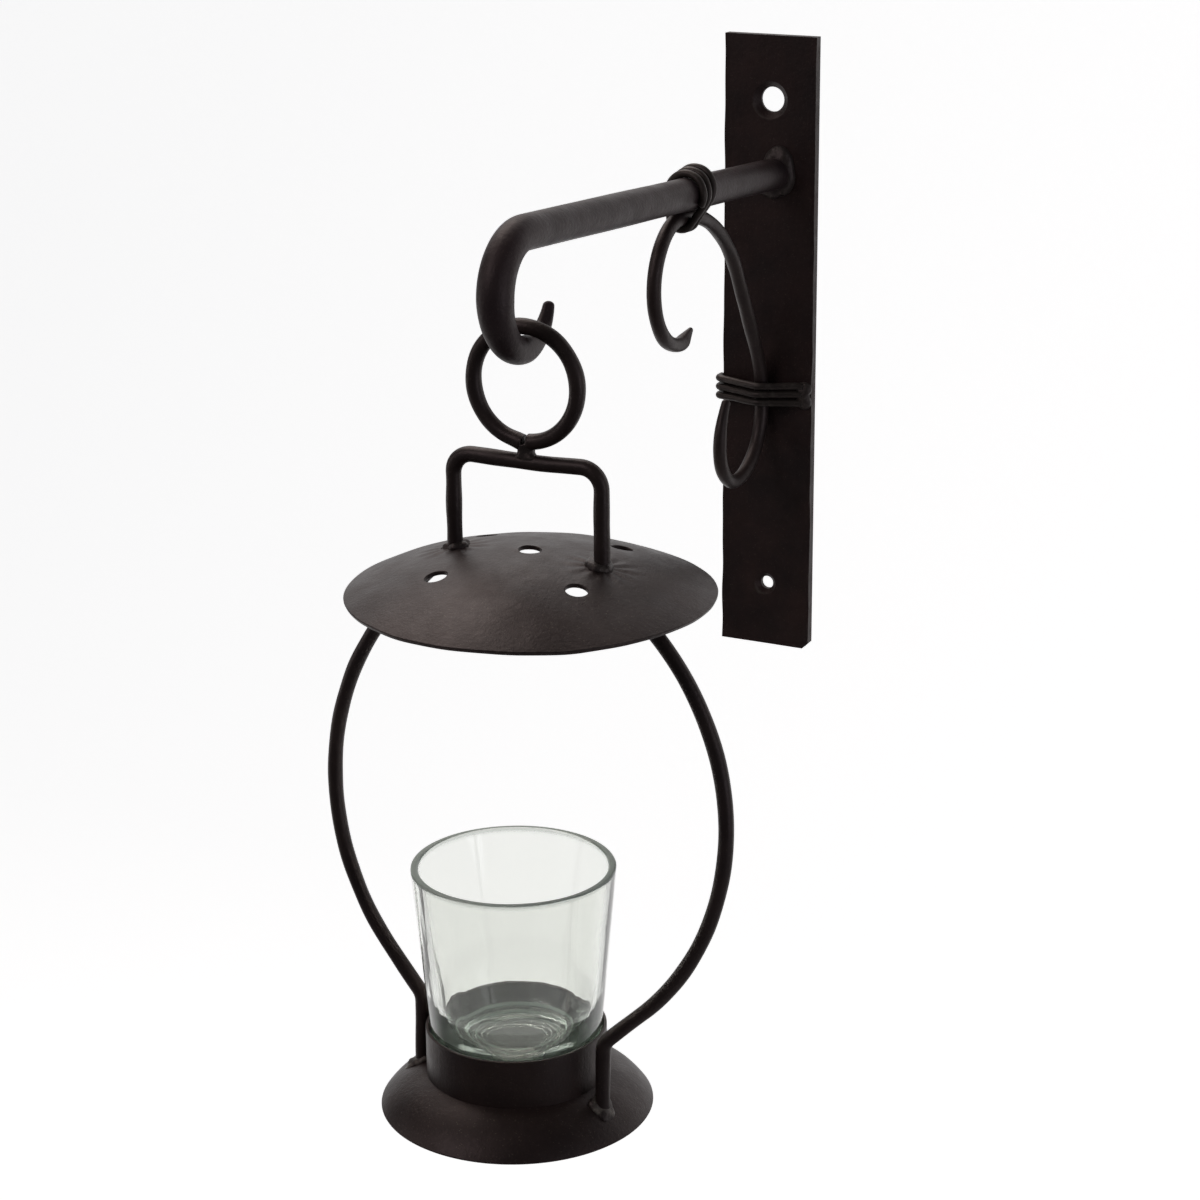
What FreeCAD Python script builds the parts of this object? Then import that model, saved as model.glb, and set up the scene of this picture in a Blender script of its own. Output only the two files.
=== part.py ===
import FreeCAD, Part
import math
import os
import types

import Sketcher

# A wrought wall candle holder. A flat bar plate carries a thick bent arm whose hook holds a hanging
# lantern: ring, bail, domed canopy, two bowed side bars and a dished base with a glass cup.
#
# Frame, in millimetres: the origin is the middle of the plate's back face, +X to the right of the
# plate seen from the room, +Y into the wall and +Z up. Angles are in degrees.

SIZES = [
    # The plate, a length of flat bar with two countersunk screw holes of unequal size.
    ("plate_length", 193, "plate, height"),
    ("plate_width", 30, "plate, width"),
    ("plate_thickness", 3, "plate, thickness"),
    ("plate_clip", 2, "plate, cut off its lower right corner"),
    ("upper_hole_radius", 3.8, "upper screw hole"),
    ("upper_sink_radius", 5.8, "upper screw hole, mouth of its countersink"),
    ("upper_hole_inset", 19.5, "upper screw hole, centre to the plate's top"),
    ("lower_hole_radius", 2.1, "lower screw hole"),
    ("lower_sink_radius", 3.6, "lower screw hole, mouth of its countersink"),
    ("lower_hole_inset", 20, "lower screw hole, centre to the plate's foot"),
    # The arm, a round bar that leaves the plate rising a little and ends in a tapering hook.
    ("arm_radius", 4.8, "arm, half of its thickness"),
    ("arm_side", 2.5, "arm, off the plate's middle line"),
    ("arm_height", 54.9, "arm, above the plate's middle where it leaves the plate"),
    ("arm_rise", 3.45, "arm, its slope"),
    ("arm_run", 162.1, "arm, straight part"),
    ("hook_front_radius", 15, "hook, bend down at the arm's end"),
    ("hook_turn_radius", 15.6, "hook, bend back to its lowest point"),
    ("hook_tip_radius", 14, "hook, bend up to its tip"),
    ("hook_tip_turn", 74, "hook, angle of the bend up to its tip"),
    ("hook_low_radius", 3.7, "hook, half of its thickness at the lowest point"),
    ("hook_end_radius", 1.35, "hook, half of its thickness at the tip"),
    ("arm_weld_width", 6.3, "arm's weld, half width"),
    ("arm_weld_height", 7.4, "arm's weld, half height"),
    ("arm_weld_depth", 3.4, "arm's weld, out from the plate"),
    # The scroll brace: a thin rod tied to the plate, curling out at its foot and under the arm.
    ("rod_radius", 2.15, "thin round rod of the brace, ring, bail and side bars"),
    ("brace_side", -1, "brace, off the plate's middle line at the wall"),
    ("brace_lean", 1.45, "brace, turn of its plane to the right"),
    ("brace_rise_radius", 39, "brace, long curve up from the plate"),
    ("brace_rise_turn", 30.7, "brace, angle of the long curve"),
    ("brace_run", 29.3, "brace, straight stretch up to the arm"),
    ("brace_top_radius", 49, "brace, bend under the arm"),
    ("brace_curl_radius", 18.1, "brace, upper curl's first quarter"),
    ("brace_fold_radius", 18.6, "brace, upper curl's second quarter"),
    ("brace_fold_turn", 89.5, "brace, angle of the upper curl's second quarter"),
    ("brace_kick_radius", 5, "brace, sharp bend before its point"),
    ("brace_kick_turn", 23.5, "brace, angle of the sharp bend"),
    ("brace_point_run", 6.5, "brace, straight tapering point"),
    ("brace_point_radius", 0.6, "brace, half of its thickness at the point"),
    ("brace_foot_radius", 19.6, "brace, lower curl's first quarter"),
    ("brace_heel_radius", 13.2, "brace, lower curl's second quarter"),
    ("brace_toe_radius", 21.7, "brace, lower curl's last bend"),
    ("brace_toe_turn", 40, "brace, angle of the lower curl's last bend"),
    ("brace_toe_end_radius", 1.4, "brace, half of its thickness at the lower end"),
    ("brace_arm_gap", 0.25, "brace, clear of the arm that it runs under"),
    # The wire that ties brace and arm, and the three wires that tie the brace to the plate.
    ("wire_radius", 1.1, "binding wire, half of its thickness"),
    ("wire_pitch", 2.7, "binding wire, middle of one turn to the next"),
    ("wire_gap", 0.05, "binding wire, clear of what it holds"),
    ("tie_setback", 2.67, "arm's tie, nearer the wall than the brace's highest point"),
    ("tie_slack", 1.6, "arm's tie, room left above the arm"),
    ("tie_room", 0.2, "arm's tie, room under the brace"),
    ("tie_end_drop", 5.6, "arm's tie, its cut ends below the arm's middle"),
    ("strap_rise", 4, "plate's ties, the middle one above where the brace meets the plate"),
    ("strap_tuck", 1.8, "plate's ties, down the plate's left edge"),
    ("strap_corner_radius", 1.6, "plate's ties, bend over the plate's left edge"),
    ("strap_corner_lift", 0.4, "plate's ties, that bend's centre in front of the plate"),
    ("strap_reach", 12.6, "plate's ties, right ends from the plate's middle line"),
    ("strap_weld_width", 1.9, "plate ties' weld, half width"),
    ("strap_weld_height", 4.6, "plate ties' weld, half height"),
    ("strap_weld_depth", 2.9, "plate ties' weld, out from the plate"),
    # The ring and the bail under it.
    ("ring_radius", 15.4, "hanging ring, to the middle of its rod"),
    ("swing_gap", 0.3, "hanging ring, clear of the hook"),
    ("ring_weld_gap", 0.9, "ring's weld, thickness between ring and bail"),
    ("ring_weld_width", 4.6, "ring's weld, half width"),
    ("ring_weld_depth", 2.3, "ring's weld, half depth"),
    ("ring_weld_height", 2.4, "ring's weld, half height"),
    ("bail_half_width", 22.2, "bail, legs from the lantern's middle"),
    ("bail_corner_radius", 6, "bail, its two bends"),
    ("bail_rise", 24.4, "bail, its bar above the canopy's crown"),
    ("leg_weld_width", 3.7, "bail's welds, half width"),
    ("leg_weld_height", 2.1, "bail's welds, half height"),
    # The canopy, a dished steel disc with five punched vents.
    ("canopy_radius", 50, "canopy, rim"),
    ("canopy_rise", 11.5, "canopy, crown above the rim"),
    ("canopy_sheet", 1.2, "canopy, sheet"),
    ("canopy_shift", 0.8, "canopy, right of the ring's axis"),
    ("vent_radius", 3, "canopy's vents"),
    ("vent_reach", 27.5, "canopy's vents, ring of four"),
    ("vent_turn", -36, "canopy's vents, direction of the first of the ring"),
    # The side bars. Heights count from the base's rim.
    ("cage_height", 151.8, "canopy's rim above the base's rim"),
    ("bar_bend_radius", 5.5, "side bars, bend out above the foot"),
    ("bar_lead", 6.8, "side bars, at the rim's level in front of the lantern's middle"),
    ("left_foot_gap", 0.1, "left bar, foot clear of the cup band"),
    ("left_foot_run", 21.9, "left bar, upright foot"),
    ("left_splay", 39.9, "left bar, slope outwards above the foot"),
    ("left_bow_radius_share", 0.5108, "left bar, long bow's radius as a share of the cage's height"),
    ("left_bow_height_share", 0.5975, "left bar, widest point as a share of the cage's height"),
    ("left_top_slope", 45.2, "left bar, slope inwards at the top"),
    ("right_foot_gap", 3.4, "right bar, foot clear of the cup band"),
    ("right_foot_run", 18.9, "right bar, upright foot"),
    ("right_splay", 46.1, "right bar, slope outwards above the foot"),
    ("right_bow_radius_share", 0.4965, "right bar, long bow's radius as a share of the cage's height"),
    ("right_bow_height_share", 0.6078, "right bar, widest point as a share of the cage's height"),
    ("right_top_slope", 47.7, "right bar, slope inwards at the top"),
    ("bar_weld_width", 3.6, "side bars' welds, half width"),
    ("bar_weld_height", 2.2, "side bars' welds, half height"),
    # The base, a dished disc with a turned-down shoulder, and the band that holds the cup.
    ("base_radius", 38.6, "base, rim"),
    ("base_rise", 13.5, "base, crown above the rim"),
    ("base_crown_radius", 90, "base, curve of its crown"),
    ("base_sheet", 1.2, "base, sheet"),
    ("base_shift", -6.1, "base, off the ring's axis"),
    ("band_sheet", 0.9, "cup band, strip"),
    ("band_rise", 10.3, "cup band, top above the base's crown"),
    ("cup_gap", 0.35, "glass cup, clear of the band's top edge"),
    # The glass cup, tapered, with a thick hollowed foot.
    ("glass_height", 58.9, "glass cup, height"),
    ("glass_rim_radius", 28.5, "glass cup, rim"),
    ("glass_foot_radius", 23.2, "glass cup, foot"),
    ("glass_wall", 2.1, "glass cup, wall"),
    ("glass_floor", 7.3, "glass cup, inner floor above the foot"),
    ("glass_floor_fillet", 5, "glass cup, round between wall and floor"),
    ("glass_punt_radius", 14, "glass cup, hollow under the foot"),
    ("glass_punt_depth", 1.6, "glass cup, depth of that hollow"),
    ("glass_lip_fillet", 0.9, "glass cup, rounding of the lip"),
    ("glass_foot_fillet", 1.5, "glass cup, rounding of the foot"),
    ("seat_gap", 0.3, "glass cup, clear of the base under it"),
    ("overrun", 1, "cutting tools, past what they cut"),
]
BINDING_TURNS = 3
RING_VENTS = 4
TIE_SAMPLES = 1200  # points at which the tie's gap between turns is measured

document = FreeCAD.newDocument("wall_candle_holder")
sheet = document.addObject("Spreadsheet::Sheet", "Sizes")
for row, (name, number, meaning) in enumerate(SIZES, start=1):
    sheet.set(f"A{row}", meaning)
    sheet.set(f"B{row}", str(number))
    sheet.setAlias(f"B{row}", name)
document.recompute()


class Term:
    """A number together with the formula over the spreadsheet's sizes that gives it."""

    def __init__(self, value, text):
        self.value = float(value)
        self.text = text

    def joined(self, other, value, sign):
        return Term(value, f"({self.text} {sign} {term(other).text})")

    def __add__(self, other):
        return self.joined(other, self.value + term(other).value, "+")

    def __sub__(self, other):
        return self.joined(other, self.value - term(other).value, "-")

    def __mul__(self, other):
        return self.joined(other, self.value * term(other).value, "*")

    def __truediv__(self, other):
        return self.joined(other, self.value / term(other).value, "/")

    def __radd__(self, other):
        return term(other) + self

    def __rsub__(self, other):
        return term(other) - self

    def __rmul__(self, other):
        return term(other) * self

    def __neg__(self):
        return Term(-self.value, f"(0 - {self.text})")


def term(number):
    """The number as a Term, if it isn't one yet."""
    return number if isinstance(number, Term) else Term(number, f"({number})")


def root(x):
    return Term(math.sqrt(x.value), f"sqrt({x.text})")


def sine(angle):
    return Term(math.sin(math.radians(angle.value)), f"sin({angle.text} * 1 deg)")


def cosine(angle):
    return Term(math.cos(math.radians(angle.value)), f"cos({angle.text} * 1 deg)")


def arc_sine(x):
    return Term(math.degrees(math.asin(x.value)), f"(asin({x.text}) / 1 deg)")


def arc_tangent(x):
    return Term(math.degrees(math.atan(x.value)), f"(atan({x.text}) / 1 deg)")


s = types.SimpleNamespace()
for name, _, _ in SIZES:
    setattr(s, name, Term(sheet.get(name), f"Sizes.{name}"))


# Where the pieces meet, worked out from the sizes.

# The hook's lowest point, as reach from the wall and height.
hook_reach = (s.plate_thickness + s.arm_run * cosine(s.arm_rise)
              + s.hook_front_radius * (1 + sine(s.arm_rise)) - s.hook_turn_radius)
hook_low = (s.arm_height + s.arm_run * sine(s.arm_rise)
            - s.hook_front_radius * cosine(s.arm_rise) - s.hook_turn_radius)

# Heights down the lantern: ring, bail bar, canopy rim and base rim.
ring_height = hook_low + s.hook_low_radius + s.swing_gap + s.rod_radius - s.ring_radius
bail_height = ring_height - s.ring_radius - 2 * s.rod_radius - s.ring_weld_gap
canopy_height = bail_height - s.bail_rise - s.canopy_rise
base_height = canopy_height - s.cage_height
lantern_y = -hook_reach
canopy_x = s.arm_side + s.canopy_shift
base_x = s.arm_side + s.base_shift

# The ball whose cap is the canopy's upper face.
canopy_ball_radius = ((s.canopy_radius * s.canopy_radius + s.canopy_rise * s.canopy_rise)
                      / (2 * s.canopy_rise))
canopy_ball_height = canopy_height + s.canopy_rise - canopy_ball_radius


def crown_drop(reach):
    """How far the base's crown has fallen at a distance from its middle."""
    return s.base_crown_radius - root(s.base_crown_radius * s.base_crown_radius - reach * reach)


# The cup stands on the crown at the edge of its hollow foot. The band clears it at the band's top.
glass_height = s.base_rise - crown_drop(s.glass_punt_radius) + s.seat_gap
glass_taper = (s.glass_rim_radius - s.glass_foot_radius) / s.glass_height
band_top = s.base_rise + s.band_rise
band_inner_radius = s.glass_foot_radius + (band_top - glass_height) * glass_taper + s.cup_gap
band_outer_radius = band_inner_radius + s.band_sheet
band_foot = s.base_rise - crown_drop(band_inner_radius)

# The base's shoulder: an arc from the knee under the band, where it leaves the crown, to the rim.
knee_sine = band_inner_radius / s.base_crown_radius
knee_cosine = root(1 - knee_sine * knee_sine)
shoulder_width = s.base_radius - band_inner_radius
shoulder_radius = ((shoulder_width * shoulder_width + band_foot * band_foot)
                   / (2 * (band_foot * knee_cosine - shoulder_width * knee_sine)))
shoulder_reach = band_inner_radius - shoulder_radius * knee_sine
shoulder_height = band_foot - shoulder_radius * knee_cosine

# The side bars lean from their feet, in front of the lantern's middle, back to the canopy.
bar_lean = arc_tangent(s.bar_lead / s.cage_height)


def bar_ahead(height):
    """How far a side bar stands in front of the lantern's middle at a height over the base's rim."""
    return s.bar_lead * (1 - height / s.cage_height)


# The brace runs under the arm at its highest point, as reach from the wall along its own plane.
brace_seat = s.plate_thickness + s.rod_radius + s.wire_gap
brace_top_reach = (brace_seat + s.brace_rise_radius * (1 - cosine(s.brace_rise_turn))
                   + s.brace_run * sine(s.brace_rise_turn) + s.brace_top_radius * cosine(s.brace_rise_turn))
brace_climb = (s.brace_rise_radius * sine(s.brace_rise_turn) + s.brace_run * cosine(s.brace_rise_turn)
               + s.brace_top_radius * (1 - sine(s.brace_rise_turn)))
brace_off_arm = s.arm_side - s.brace_side - brace_top_reach * sine(s.brace_lean)
brace_to_arm = s.arm_radius + s.rod_radius + s.brace_arm_gap
brace_under_arm = root(brace_to_arm * brace_to_arm - brace_off_arm * brace_off_arm)


def arm_height_at(reach):
    """Height of the arm's middle line at a distance from the wall."""
    return s.arm_height + (reach - s.plate_thickness) * sine(s.arm_rise) / cosine(s.arm_rise)


brace_height = (arm_height_at(brace_top_reach) - brace_under_arm / cosine(s.arm_rise)) - brace_climb


# Small tools for bodies, sketches and placements.

START, END, CENTRE = range(1, 4)
HORIZONTAL_AXIS, VERTICAL_AXIS = range(-1, -3, -1)
ORIGIN = (HORIZONTAL_AXIS, START)
LEFT, RIGHT = 1, -1


def vector(x, y, z=0.0):
    return FreeCAD.Vector(x, y, z)


def bind(item, path, size):
    item.setExpression(path, term(size).text)


def place(item, x, y, z):
    """Puts an object at a point, each coordinate a Term or zero."""
    for path, size in (("x", x), ("y", y), ("z", z)):
        bind(item, f"Placement.Base.{path}", size)


def tilt(item, axis, angle):
    """Turns an object about an axis through its own origin."""
    turned = FreeCAD.Rotation(axis, term(angle).value)
    item.Placement = FreeCAD.Placement(item.Placement.Base, turned)
    bind(item, "Placement.Rotation.Angle", angle)


def new_body(name):
    body = document.addObject("PartDesign::Body", name)
    body.Label = name
    return body


def new_sketch(body, name, role):
    """A sketch on one of the body's origin planes."""
    sketch = body.newObject("Sketcher::SketchObject", name)
    plane = next(item for item in body.Origin.OriginFeatures if item.Role == role)
    sketch.AttachmentSupport = (plane, [""])
    sketch.MapMode = "FlatFace"
    return sketch


def dimension(sketch, kind, *where):
    """Adds a dimension, whose last argument is its size, bound to the spreadsheet."""
    *where, size = where
    number = math.radians(size.value) if kind == "Angle" else size.value
    index = sketch.addConstraint(Sketcher.Constraint(kind, *where, number))
    bind(sketch, f"Constraints[{index}]", size)


def relate(sketch, kind, *where):
    sketch.addConstraint(Sketcher.Constraint(kind, *where))


def add_line(sketch, first, last):
    return sketch.addGeometry(Part.LineSegment(vector(*first), vector(*last)))


def add_arc(sketch, centre, radius, first_angle, last_angle):
    """An arc that runs anticlockwise between two angles in radians."""
    circle = Part.Circle(vector(*centre), vector(0, 0, 1), radius)
    return sketch.addGeometry(Part.ArcOfCircle(circle, first_angle, last_angle))


def run(length):
    return types.SimpleNamespace(kind="run", length=length)


def bend(radius, angle, side):
    return types.SimpleNamespace(kind="bend", radius=radius, angle=angle, side=side)


def draw_path(sketch, start, heading, steps):
    """Draws a rod's middle line as it is bent: runs and tangent bends, each with its dimensions."""
    x, y = start[0].value, start[1].value
    course = math.radians(heading)
    last = None
    for step in steps:
        if step.kind == "run":
            next_x = x + step.length.value * math.cos(course)
            next_y = y + step.length.value * math.sin(course)
            edge = add_line(sketch, (x, y), (next_x, next_y))
            first_end, last_end = START, END
        else:
            radius, turn = step.radius.value, step.side * math.radians(step.angle.value)
            centre = (x - step.side * radius * math.sin(course), y + step.side * radius * math.cos(course))
            begin = course - step.side * math.pi / 2
            low, high = sorted((begin, begin + turn))
            edge = add_arc(sketch, centre, radius, low, high)
            first_end, last_end = (START, END) if step.side == LEFT else (END, START)
            next_x = centre[0] + radius * math.cos(begin + turn)
            next_y = centre[1] + radius * math.sin(begin + turn)
            course += turn
        if last is None:
            dimension(sketch, "DistanceX", edge, first_end, start[0])
            dimension(sketch, "DistanceY", edge, first_end, start[1])
            if step.kind == "run":
                relate(sketch, "Horizontal" if heading % 180 == 0 else "Vertical", edge)
            else:
                level = "Horizontal" if heading % 180 == 90 else "Vertical"
                relate(sketch, level, edge, first_end, edge, CENTRE)
        else:
            relate(sketch, "Tangent", *last, edge, first_end)
        if step.kind == "run":
            dimension(sketch, "Distance", edge, step.length)
        else:
            dimension(sketch, "Radius", edge, step.radius)
            dimension(sketch, "Angle", edge, step.angle)
        last = (edge, last_end)
        x, y = next_x, next_y


def ring_section(body, name, path, edge, fraction, radius):
    """A round section across a path, at a fraction of one of its edges."""
    section = body.newObject("Sketcher::SketchObject", name)
    section.AttachmentSupport = (path, [f"Edge{edge}"])
    section.MapMode = "NormalToEdge"
    section.MapPathParameter = fraction
    section.addGeometry(Part.Circle(vector(0, 0), vector(0, 0, 1), radius.value))
    relate(section, "Coincident", 0, CENTRE, *ORIGIN)
    dimension(section, "Radius", 0, radius)
    return section


def add_rod(body, name, path, edges, sections):
    """Runs a round rod along edges of a path: (edge, fraction, radius) for each section."""
    profiles = [ring_section(body, f"{name}_section_{number}", path, *section)
                for number, section in enumerate(sections)]
    pipe = body.newObject("PartDesign::AdditivePipe", name)
    pipe.Profile = profiles[0]
    pipe.Spine = (path, [f"Edge{edge}" for edge in edges])
    if len(profiles) > 1:
        pipe.Transformation = "Multisection"
        pipe.Sections = profiles[1:]
    return pipe


def round_rod(name, role, start, heading, steps):
    """A body of one even thin rod, bent in one of its origin planes."""
    body = new_body(name)
    path = new_sketch(body, f"{name}_path", role)
    draw_path(path, start, heading, steps)
    add_rod(body, f"{name}_rod", path, range(1, len(steps) + 1), [(1, 0.0, s.rod_radius)])
    return body


def ellipsoid(name, width, depth, height):
    """A blob of weld before it is cut by what it joins, given by its three half sizes."""
    blob = document.addObject("Part::Ellipsoid", name)
    bind(blob, "Radius1", height)
    bind(blob, "Radius2", width)
    bind(blob, "Radius3", depth)
    return blob


def wall_blob(name, width, depth, height):
    """Half a blob of weld that lies on the plate's front, before it is cut by what it joins."""
    blob = ellipsoid(name, width, height, depth)
    blob.Angle1 = 0
    blob.Placement = FreeCAD.Placement(vector(0, 0), FreeCAD.Rotation(vector(1, 0, 0), 90))
    return blob


def ball(name, radius):
    sphere = document.addObject("Part::Sphere", name)
    bind(sphere, "Radius", radius)
    return sphere


def cylinder(name, radius, height):
    drum = document.addObject("Part::Cylinder", name)
    bind(drum, "Radius", radius)
    bind(drum, "Height", height)
    return drum


def cut(name, base, *tools):
    """What is left of an object after other objects are taken out of it."""
    for number, tool in enumerate(tools, start=1):
        last = number == len(tools)
        result = document.addObject("Part::Cut", name if last else f"{name}_cut_{number}")
        result.Base = base
        result.Tool = tool
        base = result
    base.Label = name
    return base


def shared(name, base, tool):
    """What two objects have in common."""
    result = document.addObject("Part::Common", name)
    result.Base = base
    result.Tool = tool
    result.Label = name
    return result


# The pieces.


def add_screw_hole(body, name, height, hole_radius, sink_radius):
    """A through hole with a right-angled countersink in the plate's front."""
    depth = sink_radius - hole_radius
    bore = body.newObject("PartDesign::SubtractiveCylinder", f"{name}_bore")
    mouth = body.newObject("PartDesign::SubtractiveCone", f"{name}_sink")
    plane = next(item for item in body.Origin.OriginFeatures if item.Role == "XZ_Plane")
    for tool in (bore, mouth):
        tool.AttachmentSupport = (plane, [""])
        tool.MapMode = "FlatFace"
        bind(tool, "AttachmentOffset.Base.y", height)
    bind(bore, "AttachmentOffset.Base.z", -s.overrun)
    bind(bore, "Radius", hole_radius)
    bind(bore, "Height", s.plate_thickness + 2 * s.overrun)
    bind(mouth, "AttachmentOffset.Base.z", s.plate_thickness - depth)
    bind(mouth, "Radius1", hole_radius)
    bind(mouth, "Radius2", sink_radius + s.overrun)
    bind(mouth, "Height", depth + s.overrun)


def make_plate():
    """The flat bar, its lower right corner cut off, with its two screw holes."""
    body = new_body("back_plate")
    outline = new_sketch(body, "plate_outline", "XZ_Plane")
    half_width, half_length, clip = s.plate_width / 2, s.plate_length / 2, s.plate_clip
    corners = [
        (-half_width, -half_length),
        (half_width - clip, -half_length),
        (half_width, clip - half_length),
        (half_width, half_length),
        (-half_width, half_length),
    ]
    count = len(corners)
    for number, corner in enumerate(corners):
        after = corners[(number + 1) % count]
        add_line(outline, (corner[0].value, corner[1].value), (after[0].value, after[1].value))
    for number, corner in enumerate(corners):
        relate(outline, "Coincident", number, END, (number + 1) % count, START)
        dimension(outline, "DistanceX", number, START, corner[0])
        dimension(outline, "DistanceY", number, START, corner[1])
    pad = body.newObject("PartDesign::Pad", "plate_bar")
    pad.Profile = outline
    bind(pad, "Length", s.plate_thickness)
    holes = (
        ("upper_hole", half_length - s.upper_hole_inset, s.upper_hole_radius, s.upper_sink_radius),
        ("lower_hole", s.lower_hole_inset - half_length, s.lower_hole_radius, s.lower_sink_radius),
    )
    for hole in holes:
        add_screw_hole(body, *hole)
    return body


def make_arm():
    """The bar from the plate to the hook's tip, its end cut flush with the plate, and its weld."""
    body = new_body("hook_arm")
    place(body, s.arm_side, 0, 0)
    path = new_sketch(body, "arm_path", "YZ_Plane")
    turned = FreeCAD.Rotation(vector(0, 0, 1), 180 - s.arm_rise.value)
    path.AttachmentOffset = FreeCAD.Placement(vector(0, 0), turned)
    bind(path, "AttachmentOffset.Base.x", -s.plate_thickness)
    bind(path, "AttachmentOffset.Base.y", s.arm_height)
    bind(path, "AttachmentOffset.Rotation.Angle", 180 - s.arm_rise)
    steps = [
        run(s.arm_run + s.overrun),
        bend(s.hook_front_radius, 90 + s.arm_rise, LEFT),
        bend(s.hook_turn_radius, term(90), LEFT),
        bend(s.hook_tip_radius, s.hook_tip_turn, LEFT),
    ]
    draw_path(path, (-s.overrun, term(0)), 0, steps)
    add_rod(body, "arm_bar", path, (1, 2), [(1, 0.0, s.arm_radius)])
    taper = [(3, 0.0, s.arm_radius), (4, 0.0, s.hook_low_radius), (4, 1.0, s.hook_end_radius)]
    add_rod(body, "hook_taper", path, (3, 4), taper)
    flush = new_sketch(body, "plate_side", "XZ_Plane")
    bind(flush, "AttachmentOffset.Base.z", s.plate_thickness)
    flush.addGeometry(Part.Circle(vector(0, s.arm_height.value), vector(0, 0, 1), 2 * s.arm_radius.value))
    relate(flush, "PointOnObject", 0, CENTRE, VERTICAL_AXIS)
    dimension(flush, "DistanceY", 0, CENTRE, s.arm_height)
    dimension(flush, "Radius", 0, 2 * s.arm_radius)
    pocket = body.newObject("PartDesign::Pocket", "flush_end")
    pocket.Profile = flush
    bind(pocket, "Length", s.plate_thickness)
    blob = wall_blob("arm_weld_blob", s.arm_weld_width, s.arm_weld_depth, s.arm_weld_height)
    place(blob, s.arm_side, -s.plate_thickness, s.arm_height)
    return body, cut("arm_weld", blob, body)


def make_brace():
    """The scroll: up from the plate, under the arm and into its curl, and down into the lower curl."""
    body = new_body("scroll_brace")
    place(body, s.brace_side, 0, 0)
    tilt(body, vector(0, 0, 1), s.brace_lean)
    start = (-brace_seat, brace_height)
    upper = new_sketch(body, "brace_upper_path", "YZ_Plane")
    draw_path(upper, start, 90, [
        bend(s.brace_rise_radius, s.brace_rise_turn, LEFT),
        run(s.brace_run),
        bend(s.brace_top_radius, 90 - s.brace_rise_turn, LEFT),
        bend(s.brace_curl_radius, term(90), LEFT),
        bend(s.brace_fold_radius, s.brace_fold_turn, LEFT),
        bend(s.brace_kick_radius, s.brace_kick_turn, LEFT),
        run(s.brace_point_run),
    ])
    lower = new_sketch(body, "brace_lower_path", "YZ_Plane")
    draw_path(lower, start, -90, [
        bend(s.brace_foot_radius, term(90), RIGHT),
        bend(s.brace_heel_radius, term(90), RIGHT),
        bend(s.brace_toe_radius, s.brace_toe_turn, RIGHT),
    ])
    add_rod(body, "brace_rise", upper, (1, 2, 3, 4, 5, 6), [(1, 0.0, s.rod_radius)])
    add_rod(body, "brace_point", upper, (7,), [(7, 0.0, s.rod_radius), (7, 1.0, s.brace_point_radius)])
    add_rod(body, "brace_foot", lower, (1, 2), [(1, 1.0, s.rod_radius)])
    add_rod(body, "brace_toe", lower, (3,), [(3, 1.0, s.rod_radius), (3, 0.0, s.brace_toe_end_radius)])
    return body


def tie_path(side, pitch, top, bottom, ends):
    """The tie's middle line: half turns over and under, each half a pitch on, and straight sides."""
    half_turns = 2 * BINDING_TURNS - 1
    start = -half_turns * pitch / 4
    bulge = math.hypot(side, pitch / 4)
    edges = [Part.LineSegment(vector(side, start, ends), vector(side, start, top))]
    for number in range(half_turns):
        across = side if number % 2 == 0 else -side
        level, crest = (top, top + bulge) if number % 2 == 0 else (bottom, bottom - bulge)
        far = ends if number == half_turns - 1 else bottom + top - level
        here, there = start + number * pitch / 2, start + (number + 1) * pitch / 2
        middle = vector(0, (here + there) / 2, crest)
        edges.append(Part.Arc(vector(across, here, level), middle, vector(-across, there, level)))
        edges.append(Part.LineSegment(vector(-across, there, level), vector(-across, there, far)))
    return Part.Wire([edge.toShape() for edge in edges])


def least_gap(path, width):
    """The narrowest gap between one turn of the tie and another, measured on points of its path."""
    points = path.discretize(Number=TIE_SAMPLES)
    apart = int(TIE_SAMPLES / (2 * BINDING_TURNS))
    lengths = ((points[i] - points[j]).Length
               for i in range(TIE_SAMPLES) for j in range(i + apart, TIE_SAMPLES))
    return min(lengths) - width


def make_tie():
    """The wire wound round the arm and the brace, snug at the sides and slack above the arm."""
    reach = brace_top_reach - s.tie_setback
    side = s.arm_radius + s.wire_radius + s.wire_gap
    room = side - s.wire_radius - s.wire_gap - s.rod_radius
    off_arm = s.arm_side - s.brace_side - reach * sine(s.brace_lean)
    # The brace falls away behind its highest point, so the tie reaches down to its rear turn there.
    behind = s.tie_setback + (2 * BINDING_TURNS - 3) * s.wire_pitch / 4 + s.wire_radius
    sag = behind * behind / (2 * s.brace_top_radius)
    bottom = root(room * room - off_arm * off_arm) - brace_under_arm - sag - s.tie_room
    top = s.arm_radius + s.tie_slack + s.wire_radius - side
    sizes = (side, s.wire_pitch, top, bottom, -s.tie_end_drop)
    path = tie_path(*(size.value for size in sizes))
    start = path.Vertexes[0].Point
    circle = Part.Circle(start, vector(0, 0, 1), s.wire_radius.value)
    tie = document.addObject("Part::Feature", "arm_tie")
    tie.Label = "arm_tie"
    tie.Shape = path.makePipeShell([Part.Wire(circle.toShape())], True, False)
    turned = FreeCAD.Rotation(vector(1, 0, 0), -s.arm_rise.value)
    spot = vector(s.arm_side.value, -reach.value, arm_height_at(reach).value)
    tie.Placement = FreeCAD.Placement(spot, turned)
    print("arm tie, least gap between turns:", round(least_gap(path, 2 * s.wire_radius.value), 3))
    return tie


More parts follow.
